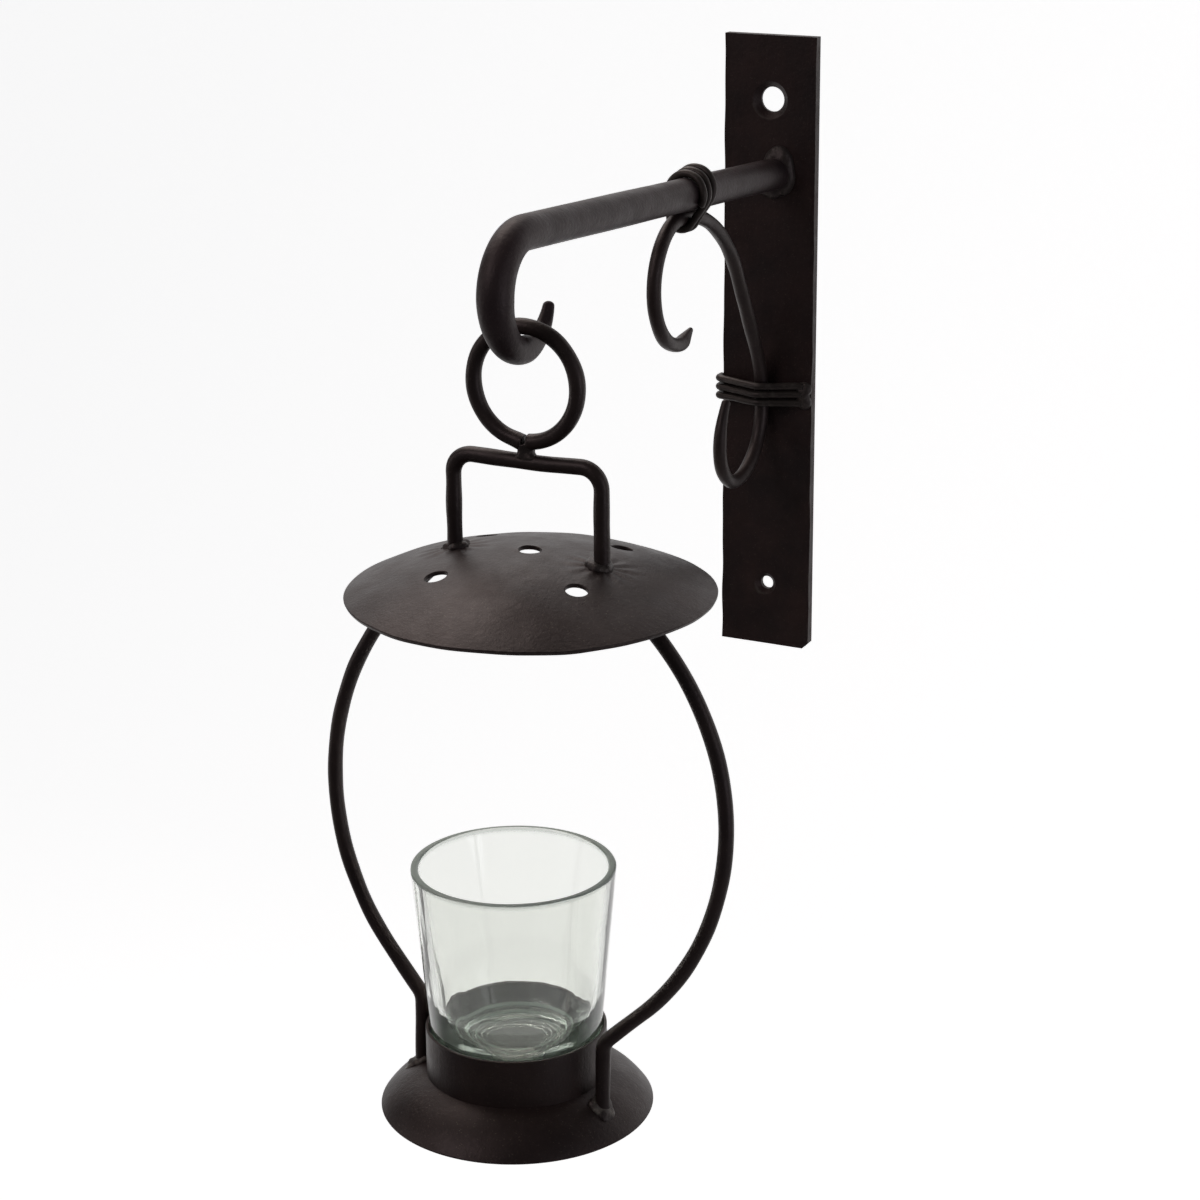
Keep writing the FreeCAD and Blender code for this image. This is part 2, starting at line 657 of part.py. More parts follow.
def make_strap(name, above):
    """One wire over the brace, from the plate's left edge to its right end on the plate's front."""
    away = s.brace_rise_radius - root(s.brace_rise_radius * s.brace_rise_radius - above * above)
    rod_reach = brace_seat + away
    rod_x = s.brace_side + rod_reach * sine(s.brace_lean)
    crest_radius = s.rod_radius + s.wire_radius + 2 * s.wire_gap
    left_x = -(s.plate_width / 2 + s.wire_radius + s.wire_gap)
    corner_reach = s.plate_thickness + s.strap_corner_lift
    corner_x = left_x + s.strap_corner_radius
    # The slopes of the two straight stretches, each tangent to the bends at its ends.
    first_across, first_out = rod_x - corner_x, rod_reach - corner_reach
    first_span = root(first_across * first_across + first_out * first_out)
    radii = crest_radius - s.strap_corner_radius
    first_slope = arc_tangent(first_out / first_across) + arc_sine(radii / first_span)
    first_run = root(first_span * first_span - radii * radii)
    end_reach = s.plate_thickness + s.wire_radius + s.wire_gap
    last_across, last_in = s.strap_reach - rod_x, rod_reach - end_reach
    last_span = root(last_across * last_across + last_in * last_in)
    last_slope = arc_tangent(last_in / last_across) + arc_sine(crest_radius / last_span)
    last_run = root(last_span * last_span - crest_radius * crest_radius)
    body = new_body(name)
    place(body, 0, 0, brace_height + above)
    path = new_sketch(body, f"{name}_path", "XY_Plane")
    tuck = s.strap_tuck - s.plate_thickness
    draw_path(path, (left_x, tuck), -90, [
        run(corner_reach + tuck),
        bend(s.strap_corner_radius, 90 - first_slope, LEFT),
        run(first_run),
        bend(crest_radius, first_slope + last_slope, LEFT),
        run(last_run),
    ])
    add_rod(body, f"{name}_wire", path, range(1, 6), [(1, 0.0, s.wire_radius)])
    return body


def make_straps():
    """The three wires on the plate, one above the other, and the weld over their right ends."""
    names = ("upper_strap", "middle_strap", "lower_strap")
    straps = [make_strap(name, s.strap_rise + (1 - number) * s.wire_pitch)
              for number, name in enumerate(names)]
    blob = wall_blob("strap_weld_blob", s.strap_weld_width, s.strap_weld_depth, s.strap_weld_height)
    place(blob, s.strap_reach, -s.plate_thickness, brace_height + s.strap_rise)
    return straps + [cut("strap_weld", blob, *straps)]


def make_ring():
    """The ring that hangs on the hook."""
    ring = document.addObject("Part::Torus", "hanging_ring")
    ring.Label = "hanging_ring"
    bind(ring, "Radius1", s.ring_radius)
    bind(ring, "Radius2", s.rod_radius)
    ring.Placement = FreeCAD.Placement(vector(0, 0), FreeCAD.Rotation(vector(1, 0, 0), 90))
    place(ring, s.arm_side, lantern_y, ring_height)
    return ring


def make_bail(ring, canopy_ball):
    """The square-shouldered bail, the weld under the ring, and the welds at its feet."""
    leg = s.bail_rise + s.canopy_rise - s.bail_corner_radius
    bar = 2 * (s.bail_half_width - s.bail_corner_radius)
    foot = (-s.bail_half_width, -(s.bail_rise + s.canopy_rise))
    rod = round_rod("bail_form", "XZ_Plane", foot, 90, [
        run(leg),
        bend(s.bail_corner_radius, term(90), RIGHT),
        run(bar),
        bend(s.bail_corner_radius, term(90), RIGHT),
        run(leg),
    ])
    place(rod, s.arm_side, lantern_y, bail_height)
    bail = cut("bail", rod, canopy_ball)
    blob = ellipsoid("ring_weld_blob", s.ring_weld_width, s.ring_weld_depth, s.ring_weld_height)
    place(blob, s.arm_side, lantern_y, bail_height + s.rod_radius + s.ring_weld_gap / 2)
    pieces = [bail, cut("ring_weld", blob, ring, rod)]
    for side, name in ((LEFT, "left_leg_weld"), (RIGHT, "right_leg_weld")):
        x = s.arm_side - side * s.bail_half_width
        off = x - canopy_x
        surface = canopy_ball_height + root(canopy_ball_radius * canopy_ball_radius - off * off)
        blob = ellipsoid(f"{name}_blob", s.leg_weld_width, s.leg_weld_width, s.leg_weld_height)
        place(blob, x, lantern_y, surface)
        pieces.append(cut(name, blob, canopy_ball, rod))
    return pieces


def make_canopy():
    """The dished disc: two concentric arcs turned about the middle, then the vents punched."""
    body = new_body("canopy")
    place(body, canopy_x, lantern_y, canopy_height)
    profile = new_sketch(body, "canopy_profile", "XZ_Plane")
    radius, rise, rim = canopy_ball_radius.value, s.canopy_rise.value, s.canopy_radius.value
    centre, inner = (0, rise - radius), radius - s.canopy_sheet.value
    edge = math.acos(rim / radius)
    outer_arc = add_arc(profile, centre, radius, edge, math.pi / 2)
    inner_arc = add_arc(profile, centre, inner, edge, math.pi / 2)
    inner_rim = (inner * math.cos(edge), centre[1] + inner * math.sin(edge))
    rim_line = add_line(profile, inner_rim, (rim, 0))
    axis_line = add_line(profile, (0, rise - s.canopy_sheet.value), (0, rise))
    relate(profile, "Coincident", rim_line, START, inner_arc, START)
    relate(profile, "Coincident", rim_line, END, outer_arc, START)
    relate(profile, "Coincident", axis_line, START, inner_arc, END)
    relate(profile, "Coincident", axis_line, END, outer_arc, END)
    relate(profile, "Coincident", inner_arc, CENTRE, outer_arc, CENTRE)
    relate(profile, "PointOnObject", outer_arc, CENTRE, VERTICAL_AXIS)
    relate(profile, "PointOnObject", outer_arc, END, VERTICAL_AXIS)
    relate(profile, "PointOnObject", inner_arc, END, VERTICAL_AXIS)
    relate(profile, "PointOnObject", outer_arc, START, HORIZONTAL_AXIS)
    relate(profile, "PointOnObject", outer_arc, CENTRE, rim_line)
    dimension(profile, "DistanceX", outer_arc, START, s.canopy_radius)
    dimension(profile, "DistanceY", outer_arc, END, s.canopy_rise)
    dimension(profile, "Distance", axis_line, s.canopy_sheet)
    dish = body.newObject("PartDesign::Revolution", "canopy_dish")
    dish.Profile = profile
    dish.ReferenceAxis = (profile, ["V_Axis"])
    crown_vent = new_sketch(body, "crown_vent", "XY_Plane")
    ring_vent = new_sketch(body, "ring_vent", "XY_Plane")
    for vent, reach in ((crown_vent, term(0)), (ring_vent, s.vent_reach)):
        turn = math.radians(s.vent_turn.value)
        spot = vector(reach.value * math.cos(turn), reach.value * math.sin(turn))
        vent.addGeometry(Part.Circle(spot, vector(0, 0, 1), s.vent_radius.value))
        dimension(vent, "Radius", 0, s.vent_radius)
        dimension(vent, "DistanceX", 0, CENTRE, reach * cosine(s.vent_turn))
        dimension(vent, "DistanceY", 0, CENTRE, reach * sine(s.vent_turn))
        hole = body.newObject("PartDesign::Pocket", f"{vent.Name}_hole")
        hole.Profile = vent
        hole.Reversed = True
        bind(hole, "Length", s.canopy_rise + s.overrun)
    pattern = body.newObject("PartDesign::PolarPattern", "vent_pattern")
    pattern.Originals = [hole]
    pattern.Axis = (crown_vent, ["N_Axis"])
    pattern.Angle = 360
    pattern.Occurrences = RING_VENTS
    body.Tip = pattern
    return body


def bar_steps(foot_run, splay, bow_radius, bow_share, top_slope, side):
    """The bends of a side bar, up from inside the base: out, round its bow and in to the canopy."""
    bow_height = bow_share * s.cage_height
    climb = s.bar_bend_radius * sine(splay) + bow_radius * sine(splay)
    splay_run = (bow_height - foot_run - band_foot / 2 - climb) / cosine(splay)
    top_climb = s.cage_height + s.canopy_rise - bow_height - bow_radius * sine(top_slope)
    return [
        run(foot_run),
        bend(s.bar_bend_radius, splay, side),
        run(splay_run),
        bend(bow_radius, splay + top_slope, -side),
        run(top_climb / cosine(top_slope)),
    ], splay_run


def make_side_bar(name, side, foot_gap, sizes, canopy_hollow, base_form, cup_form):
    """A side bar between base and canopy, cut to their faces, and its two welds."""
    # The foot stands on a chord of the band, clear of it up to the band's top.
    clear = band_outer_radius + foot_gap + s.rod_radius
    foot = -side * root(clear * clear - bar_ahead(band_top) * bar_ahead(band_top))
    steps, splay_run = bar_steps(*sizes, side)
    rod = round_rod(f"{name}_form", "XZ_Plane", (foot + s.base_shift, band_foot / 2), 90, steps)
    place(rod, s.arm_side, lantern_y - s.bar_lead, base_height)
    tilt(rod, vector(-1, 0, 0), bar_lean)
    inside = shared(f"{name}_inside", rod, canopy_hollow)
    bar = cut(name, inside, base_form)
    # The top weld sits where the bar's straight end meets the canopy's inner face, near enough.
    foot_run, splay, bow_radius, bow_share, top_slope = sizes
    bow_reach = (foot * -side - side * s.base_shift + s.bar_bend_radius * (1 - cosine(splay))
                 + splay_run * sine(splay) + bow_radius * (1 - cosine(splay)))
    bow_top = bow_share * s.cage_height + bow_radius * sine(top_slope)
    top_reach = bow_reach - bow_radius * (1 - cosine(top_slope))
    inner_radius = canopy_ball_radius - s.canopy_sheet
    ball_centre = s.cage_height + s.canopy_rise - canopy_ball_radius
    climb = ball_centre + inner_radius - s.canopy_sheet - bow_top
    weld_reach = top_reach - climb * sine(top_slope) / cosine(top_slope)
    weld_height = ball_centre + root(inner_radius * inner_radius - weld_reach * weld_reach)
    top_blob = ellipsoid(f"{name}_top_blob", s.bar_weld_width, s.bar_weld_width, s.bar_weld_height)
    place(top_blob, s.arm_side - side * weld_reach, lantern_y - bar_ahead(weld_height),
          base_height + weld_height)
    top_inside = shared(f"{name}_top_inside", top_blob, canopy_hollow)
    foot_blob = ellipsoid(f"{name}_foot_blob", s.bar_weld_width, s.bar_weld_width, s.bar_weld_height)
    ahead = bar_ahead(band_foot)
    down_shoulder = root(foot * foot + ahead * ahead) - shoulder_reach
    seat = shoulder_height + root(shoulder_radius * shoulder_radius - down_shoulder * down_shoulder)
    place(foot_blob, s.arm_side + foot + s.base_shift, lantern_y - ahead, base_height + seat)
    return [
        bar,
        cut(f"{name}_top_weld", top_inside, rod),
        cut(f"{name}_foot_weld", foot_blob, base_form, cup_form, rod),
    ]


def base_profile(body, name, sheet_size):
    """Half of the base's section: solid down to its rim's level, or a shell of the given sheet."""
    profile = new_sketch(body, name, "XZ_Plane")
    crown, rise, rim = s.base_crown_radius.value, s.base_rise.value, s.base_radius.value
    shoulder = shoulder_radius.value
    crown_centre = (0, rise - crown)
    shoulder_centre = (shoulder_reach.value, shoulder_height.value)
    knee_angle = math.atan2(knee_cosine.value, knee_sine.value)
    rim_angle = math.atan2(-shoulder_centre[1], rim - shoulder_centre[0])
    crown_arc = add_arc(profile, crown_centre, crown, knee_angle, math.pi / 2)
    shoulder_arc = add_arc(profile, shoulder_centre, shoulder, rim_angle, knee_angle)
    relate(profile, "PointOnObject", crown_arc, CENTRE, VERTICAL_AXIS)
    relate(profile, "PointOnObject", crown_arc, END, VERTICAL_AXIS)
    relate(profile, "Tangent", crown_arc, START, shoulder_arc, END)
    relate(profile, "PointOnObject", shoulder_arc, START, HORIZONTAL_AXIS)
    dimension(profile, "Radius", crown_arc, s.base_crown_radius)
    dimension(profile, "DistanceY", crown_arc, END, s.base_rise)
    dimension(profile, "DistanceX", crown_arc, START, band_inner_radius)
    dimension(profile, "DistanceX", shoulder_arc, START, s.base_radius)
    if sheet_size is None:
        axis_line = add_line(profile, (0, 0), (0, rise))
        rim_line = add_line(profile, (rim, 0), (0, 0))
        relate(profile, "Coincident", axis_line, START, *ORIGIN)
        relate(profile, "Coincident", rim_line, END, *ORIGIN)
        relate(profile, "Coincident", rim_line, START, shoulder_arc, START)
        relate(profile, "Coincident", axis_line, END, crown_arc, END)
        return profile
    thick = sheet_size.value
    inner_crown = add_arc(profile, crown_centre, crown - thick, knee_angle, math.pi / 2)
    inner_shoulder = add_arc(profile, shoulder_centre, shoulder - thick, rim_angle, knee_angle)
    inner_rim = (shoulder_centre[0] + (shoulder - thick) * math.cos(rim_angle),
                 shoulder_centre[1] + (shoulder - thick) * math.sin(rim_angle))
    axis_line = add_line(profile, (0, rise - thick), (0, rise))
    rim_line = add_line(profile, (rim, 0), inner_rim)
    relate(profile, "Coincident", inner_crown, CENTRE, crown_arc, CENTRE)
    relate(profile, "Coincident", inner_shoulder, CENTRE, shoulder_arc, CENTRE)
    relate(profile, "Tangent", inner_crown, START, inner_shoulder, END)
    relate(profile, "PointOnObject", inner_crown, END, VERTICAL_AXIS)
    relate(profile, "Coincident", axis_line, START, inner_crown, END)
    relate(profile, "Coincident", axis_line, END, crown_arc, END)
    relate(profile, "Coincident", rim_line, START, shoulder_arc, START)
    relate(profile, "Coincident", rim_line, END, inner_shoulder, START)
    relate(profile, "PointOnObject", shoulder_arc, CENTRE, rim_line)
    dimension(profile, "Distance", axis_line, sheet_size)
    return profile


def make_base(name, sheet_size):
    """The dished base, or the solid dome that its upper face bounds."""
    body = new_body(name)
    place(body, base_x, lantern_y, base_height)
    turned = body.newObject("PartDesign::Revolution", f"{name}_turned")
    turned.Profile = base_profile(body, f"{name}_profile", sheet_size)
    turned.ReferenceAxis = (turned.Profile[0], ["V_Axis"])
    return body


def make_band():
    """The strip round the cup's foot, and the drum that its outside bounds."""
    height = band_top - band_foot
    drum = cylinder("band_form", band_outer_radius, height)
    hollow = cylinder("band_hollow", band_inner_radius, height + 2 * s.overrun)
    place(drum, base_x, lantern_y, base_height + band_foot)
    place(hollow, base_x, lantern_y, base_height + band_foot - s.overrun)
    return drum, cut("cup_band", drum, hollow)


def make_glass():
    """The tapered cup: a turned profile with a hollow foot, its lip, foot and floor rounded."""
    body = new_body("glass_cup")
    place(body, base_x, lantern_y, base_height + glass_height)
    profile = new_sketch(body, "glass_profile", "XZ_Plane")
    floor_radius = s.glass_foot_radius + s.glass_floor * glass_taper - s.glass_wall
    zero = term(0)
    corners = [
        (s.glass_punt_radius, zero),
        (s.glass_foot_radius, zero),
        (s.glass_rim_radius, s.glass_height),
        (s.glass_rim_radius - s.glass_wall, s.glass_height),
        (floor_radius, s.glass_floor),
        (zero, s.glass_floor),
        (zero, s.glass_punt_depth),
    ]
    for corner, after in zip(corners, corners[1:]):
        add_line(profile, (corner[0].value, corner[1].value), (after[0].value, after[1].value))
    last = len(corners) - 2
    for number in range(last):
        relate(profile, "Coincident", number, END, number + 1, START)
    for number, corner in enumerate(corners[:-1]):
        dimension(profile, "DistanceX", number, START, corner[0])
        dimension(profile, "DistanceY", number, START, corner[1])
    dimension(profile, "DistanceX", last, END, zero)
    dimension(profile, "DistanceY", last, END, s.glass_punt_depth)
    wide, deep = s.glass_punt_radius.value, s.glass_punt_depth.value
    punt = (wide * wide + deep * deep) / (2 * deep)
    arc = add_arc(profile, (0, deep - punt), punt, math.acos(wide / punt), math.pi / 2)
    relate(profile, "Coincident", arc, START, 0, START)
    relate(profile, "Coincident", arc, END, last, END)
    relate(profile, "PointOnObject", arc, CENTRE, VERTICAL_AXIS)
    turned = body.newObject("PartDesign::Revolution", "glass_turned")
    turned.Profile = profile
    turned.ReferenceAxis = (profile, ["V_Axis"])
    document.recompute()
    rounds = (
        ("glass_lip", s.glass_lip_fillet, [corners[2], corners[3]]),
        ("glass_foot", s.glass_foot_fillet, [corners[1]]),
        ("glass_floor_round", s.glass_floor_fillet, [corners[4]]),
    )
    for name, size, places in rounds:
        base = body.Tip
        fillet = body.newObject("PartDesign::Fillet", name)
        fillet.Base = (base, [circle_name(base.Shape, *place_) for place_ in places])
        bind(fillet, "Radius", size)
        document.recompute()
    return body


def circle_name(shape, radius, height):
    """The name of the circular edge nearest to a radius and a height of a turned shape."""
    def distance(edge):
        return math.hypot(edge.Curve.Radius - radius.value, edge.Curve.Center.z - height.value)
    circles = [(distance(edge), number) for number, edge in enumerate(shape.Edges, start=1)
               if not edge.Degenerated and isinstance(edge.Curve, Part.Circle)]
    return f"Edge{min(circles)[1]}"


# Everything is made in the order in which one piece carries the next.

back_plate = make_plate()
hook_arm, arm_weld = make_arm()
pieces = [back_plate, hook_arm, arm_weld, make_brace(), make_tie()]
pieces += make_straps()

canopy_ball = ball("canopy_outer_form", canopy_ball_radius)
canopy_hollow = ball("canopy_inner_form", canopy_ball_radius - s.canopy_sheet)
for form in (canopy_ball, canopy_hollow):
    place(form, canopy_x, lantern_y, canopy_ball_height)
hanging_ring = make_ring()
pieces += [hanging_ring] + make_bail(hanging_ring, canopy_ball) + [make_canopy()]

base_form = make_base("base_form", None)
cup_form, cup_band = make_band()
left_sizes = (s.left_foot_run, s.left_splay, s.left_bow_radius_share * s.cage_height,
              s.left_bow_height_share, s.left_top_slope)
right_sizes = (s.right_foot_run, s.right_splay, s.right_bow_radius_share * s.cage_height,
               s.right_bow_height_share, s.right_top_slope)
side_bars = (
    ("left_side_bar", LEFT, s.left_foot_gap, left_sizes),
    ("right_side_bar", RIGHT, s.right_foot_gap, right_sizes),
)
for bar in side_bars:
    pieces += make_side_bar(*bar, canopy_hollow, base_form, cup_form)
pieces += [make_base("base_disc", s.base_sheet), cup_band, make_glass()]

document.recompute()
for item in document.Objects:
    if "Invalid" in item.State or "Error" in item.State:
        raise RuntimeError(f"{item.Name} failed: {item.State}")
for piece in pieces:
    if piece.Shape.isNull() or not piece.Shape.isValid():
        raise RuntimeError(f"{piece.Label} has no valid shape")

os.makedirs("parts", exist_ok=True)
for piece in pieces:
    piece.Shape.exportStep(f"parts/{piece.Label}.step")
    box = piece.Shape.BoundBox
    print(f"{piece.Label}: {len(piece.Shape.Solids)} solid, {piece.Shape.Volume:.1f} mm3,"
          f" X {box.XMin:.1f} {box.XMax:.1f}, Y {box.YMin:.1f} {box.YMax:.1f},"
          f" Z {box.ZMin:.1f} {box.ZMax:.1f}")
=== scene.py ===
import math

import bmesh
import bpy
import numpy as np
from mathutils import Matrix, Vector


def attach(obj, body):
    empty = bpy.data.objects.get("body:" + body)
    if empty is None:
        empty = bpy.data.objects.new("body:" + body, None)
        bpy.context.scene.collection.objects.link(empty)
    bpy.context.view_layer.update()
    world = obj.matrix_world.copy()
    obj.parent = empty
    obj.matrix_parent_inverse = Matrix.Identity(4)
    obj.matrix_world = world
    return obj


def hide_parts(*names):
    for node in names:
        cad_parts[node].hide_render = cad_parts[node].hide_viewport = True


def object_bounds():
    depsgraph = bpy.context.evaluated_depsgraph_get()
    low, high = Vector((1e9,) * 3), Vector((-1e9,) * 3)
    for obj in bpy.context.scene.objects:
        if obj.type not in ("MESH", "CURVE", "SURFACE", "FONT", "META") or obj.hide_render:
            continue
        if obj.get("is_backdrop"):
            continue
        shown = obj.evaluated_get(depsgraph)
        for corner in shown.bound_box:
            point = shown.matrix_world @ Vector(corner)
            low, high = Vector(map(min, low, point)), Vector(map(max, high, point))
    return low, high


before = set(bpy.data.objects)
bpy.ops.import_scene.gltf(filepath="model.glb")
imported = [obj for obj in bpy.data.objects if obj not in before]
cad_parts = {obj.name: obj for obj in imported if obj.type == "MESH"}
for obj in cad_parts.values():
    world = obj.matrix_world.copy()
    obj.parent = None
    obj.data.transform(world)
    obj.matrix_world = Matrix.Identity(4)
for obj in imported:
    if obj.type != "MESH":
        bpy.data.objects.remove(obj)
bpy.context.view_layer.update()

# The view and the room. The holder hangs in a pale cove, a floor that curves up behind it, under one
# broad lamp above and behind on the left. A cool window stands on the right, and two weak fills light
# it from the front and from the left.

EYE = (0.3566, -0.8130, 0.2049)
TURN, DIP, ROLL = (math.radians(angle) for angle in (27.177, 17.969, -0.462))
LENS, FILM_WIDTH = 87.2, 36

level = Vector((math.cos(TURN), math.sin(TURN), 0))
ahead = Vector((-math.sin(TURN) * math.cos(DIP), math.cos(TURN) * math.cos(DIP), -math.sin(DIP)))
down = ahead.cross(level)
right = math.cos(ROLL) * level - math.sin(ROLL) * down
up = -math.sin(ROLL) * level - math.cos(ROLL) * down
camera = bpy.data.objects.new("camera", bpy.data.cameras.new("camera"))
camera.data.lens = LENS
camera.data.sensor_width = FILM_WIDTH
camera.data.clip_start = 0.02
camera.matrix_world = Matrix.Translation(EYE) @ Matrix((right, up, -ahead)).transposed().to_4x4()
bpy.context.scene.collection.objects.link(camera)
bpy.context.scene.camera = camera
bpy.context.scene.view_settings.view_transform = "Standard"


def add_node(tree, kind, **inputs):
    """A shader node with its input sockets set, or joined where the value is another node's output."""
    made = tree.nodes.new(kind)
    for name, value in inputs.items():
        socket = made.inputs[int(name[1:]) if name[0] == "_" else name.replace("_", " ")]
        if isinstance(value, bpy.types.NodeSocket):
            tree.links.new(value, socket)
        else:
            socket.default_value = value
    return made


def pale_cove():
    """The cove's section: flat floor, a quarter circle, then upright, drawn out sideways."""
    turn = np.linspace(0, math.pi / 2, 24)
    along = np.concatenate([[-0.8], 1.2 + 0.6 * np.sin(turn), [1.8]])
    height = np.concatenate([[0.0], 0.6 - 0.6 * np.cos(turn), [3.0]]) - 0.8
    rows = np.stack([np.stack([np.full_like(along, side), along, height], 1) for side in (-4.0, 4.0)])
    count = len(along)
    first = np.arange(count - 1)
    faces = np.stack([first, first + 1, first + 1 + count, first + count], 1)
    mesh = bpy.data.meshes.new("pale_cove")
    mesh.from_pydata(rows.reshape(-1, 3).tolist(), [], faces.tolist())
    mesh.shade_smooth()
    cove = bpy.data.objects.new("pale_cove", mesh)
    bpy.context.scene.collection.objects.link(cove)
    paper = bpy.data.materials.new("white_paper")
    paper.use_nodes = True
    tree = paper.node_tree
    tree.nodes.clear()
    path = tree.nodes.new("ShaderNodeLightPath").outputs
    seen = add_node(tree, "ShaderNodeMath", _0=path["Is Camera Ray"], _1=path["Is Transmission Ray"])
    matt = add_node(tree, "ShaderNodeBsdfDiffuse", Color=(0.8, 0.8, 0.8, 1))
    # Mirrored in the pieces, the cove glows only where it stands behind the holder.
    place = tree.nodes.new("ShaderNodeNewGeometry").outputs["Position"]
    spot = add_node(tree, "ShaderNodeSeparateXYZ", Vector=place)
    back = add_node(tree, "ShaderNodeMath", _0=spot.outputs["X"], _1=-0.35, _2=spot.outputs["Y"])
    back.operation = "MULTIPLY_ADD"
    behind = add_node(tree, "ShaderNodeMapRange", Value=back.outputs[0], From_Min=0.1, From_Max=0.6,
                      To_Max=0.9)
    mirrored = add_node(tree, "ShaderNodeMath", _0=behind.outputs[0], _1=path["Is Glossy Ray"])
    mirrored.operation = "MULTIPLY"
    seen = add_node(tree, "ShaderNodeMath", _0=seen.outputs[0], _1=mirrored.outputs[0])
    seen.use_clamp = True
    glow = add_node(tree, "ShaderNodeEmission", Color=(1, 1, 1, 1), Strength=0.85)
    both = add_node(tree, "ShaderNodeAddShader", _0=matt.outputs[0], _1=glow.outputs[0])
    mixed = add_node(tree, "ShaderNodeMixShader", Fac=seen.outputs[0], _1=matt.outputs[0], _2=both.outputs[0])
    add_node(tree, "ShaderNodeOutputMaterial", Surface=mixed.outputs[0])
    mesh.materials.append(paper)
    return cove


pale_cove()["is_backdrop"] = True

world = bpy.data.worlds.new("studio")
world.use_nodes = True
sky = world.node_tree
sky.nodes.clear()
path = sky.nodes.new("ShaderNodeLightPath").outputs
dim = add_node(sky, "ShaderNodeBackground", Color=(0.92, 0.95, 1, 1), Strength=0.07)
white = add_node(sky, "ShaderNodeBackground", Color=(1, 1, 1, 1), Strength=1)
seen = add_node(sky, "ShaderNodeMath", _0=path["Is Camera Ray"], _1=path["Is Transmission Ray"])
seen.use_clamp = True
shown = add_node(sky, "ShaderNodeMixShader", Fac=seen.outputs[0], _1=dim.outputs[0], _2=white.outputs[0])
add_node(sky, "ShaderNodeOutputWorld", Surface=shown.outputs[0])
bpy.context.scene.world = world

LAMPS = (
    # name, place, aimed at, size across and up, power, colour
    ("broad_lamp", (-0.5, 0.25, 0.9), (0, -0.12, 0), (0.9, 0.7), 5.5, (1.0, 0.92, 0.87)),
    ("window", (1.2, -0.4, 0.05), (0, -0.1, -0.05), (0.5, 0.9), 2.3, (0.9, 0.92, 1.0)),
    ("front_fill", (-0.6, -1.1, 0.8), (0, -0.15, -0.05), (0.6, 0.6), 3.0, (1.0, 0.92, 0.94)),
    ("left_fill", (-1.2, -0.55, 0.0), (0, -0.15, -0.05), (0.4, 0.6), 1.2, (1.0, 0.94, 0.92)),
)
for name, place, target, size, power, colour in LAMPS:
    lamp = bpy.data.lights.new(name, "AREA")
    lamp.shape, lamp.size, lamp.size_y = "RECTANGLE", *size
    lamp.energy, lamp.color = power, colour
    holder = bpy.data.objects.new(name, lamp)
    holder.location = place
    holder.rotation_euler = (Vector(target) - Vector(place)).to_track_quat("-Z", "Y").to_euler()
    bpy.context.scene.collection.objects.link(holder)


# The wall plate. A length of flat bar, 30 by 3, sawn off, with one lower corner knocked back and two
# countersunk screw holes, the upper one drilled larger. It is brushed with black-brown lacquer.

PLATE_HALF_WIDTH, PLATE_HALF_LENGTH, PLATE_THICKNESS, PLATE_CLIP = 15.0, 96.5, 3.0, 2.0
SCREW_HOLES = (  # height, bore radius, countersink's mouth radius, countersink's depth
    (77.0, 3.8, 5.8, 2.0),
    (-76.5, 2.1, 3.6, 1.5),
)
PUNCH_REACH, PUNCH_SPARE = 8, 4  # grid steps round a hole that it moves, and that it takes away


def unevenness(points, wavelength, seed):
    """Soft lumps over space, mostly between -1 and 1: a sum of sine waves in scattered directions."""
    chance = np.random.default_rng(seed)
    ways = chance.normal(size=(3, 10))
    ways *= 2 * math.pi / wavelength / np.linalg.norm(ways, axis=0)
    waves = np.sin(np.asarray(points) @ ways + chance.uniform(0, 2 * math.pi, 10))
    return waves.sum(-1) / 3


def punch(sheet, keep, row, column, centre, radius):
    """Opens a round hole in a grid of flat points. Round the middle, squares of grid points drawn ever
    larger turn step by step from a circle of the given radius into the grid as it was."""
    reach, spare = PUNCH_REACH, PUNCH_SPARE
    rows, columns = np.mgrid[-reach:reach + 1, -reach:reach + 1]
    share = np.maximum(abs(rows), abs(columns)) / reach
    way = np.arctan2(columns, rows)
    block = sheet[row - reach:row + reach + 1, column - reach:column + reach + 1]
    outer = share == 1
    order = np.argsort(way[outer])
    edge = block[outer][order]
    edge_x, edge_y = (np.interp(way, way[outer][order], edge[:, i], period=2 * math.pi) for i in (0, 1))
    rim = np.stack([edge_x, edge_y], -1)
    off = rim - centre
    circle = centre + radius * off / np.linalg.norm(off, axis=-1, keepdims=True)
    blend = np.clip((share - spare / reach) / (1 - spare / reach), 0, 1)[..., None]
    block[:] = (1 - blend) * circle + blend * rim
    keep[row - spare:row + spare, column - spare:column + spare] = False


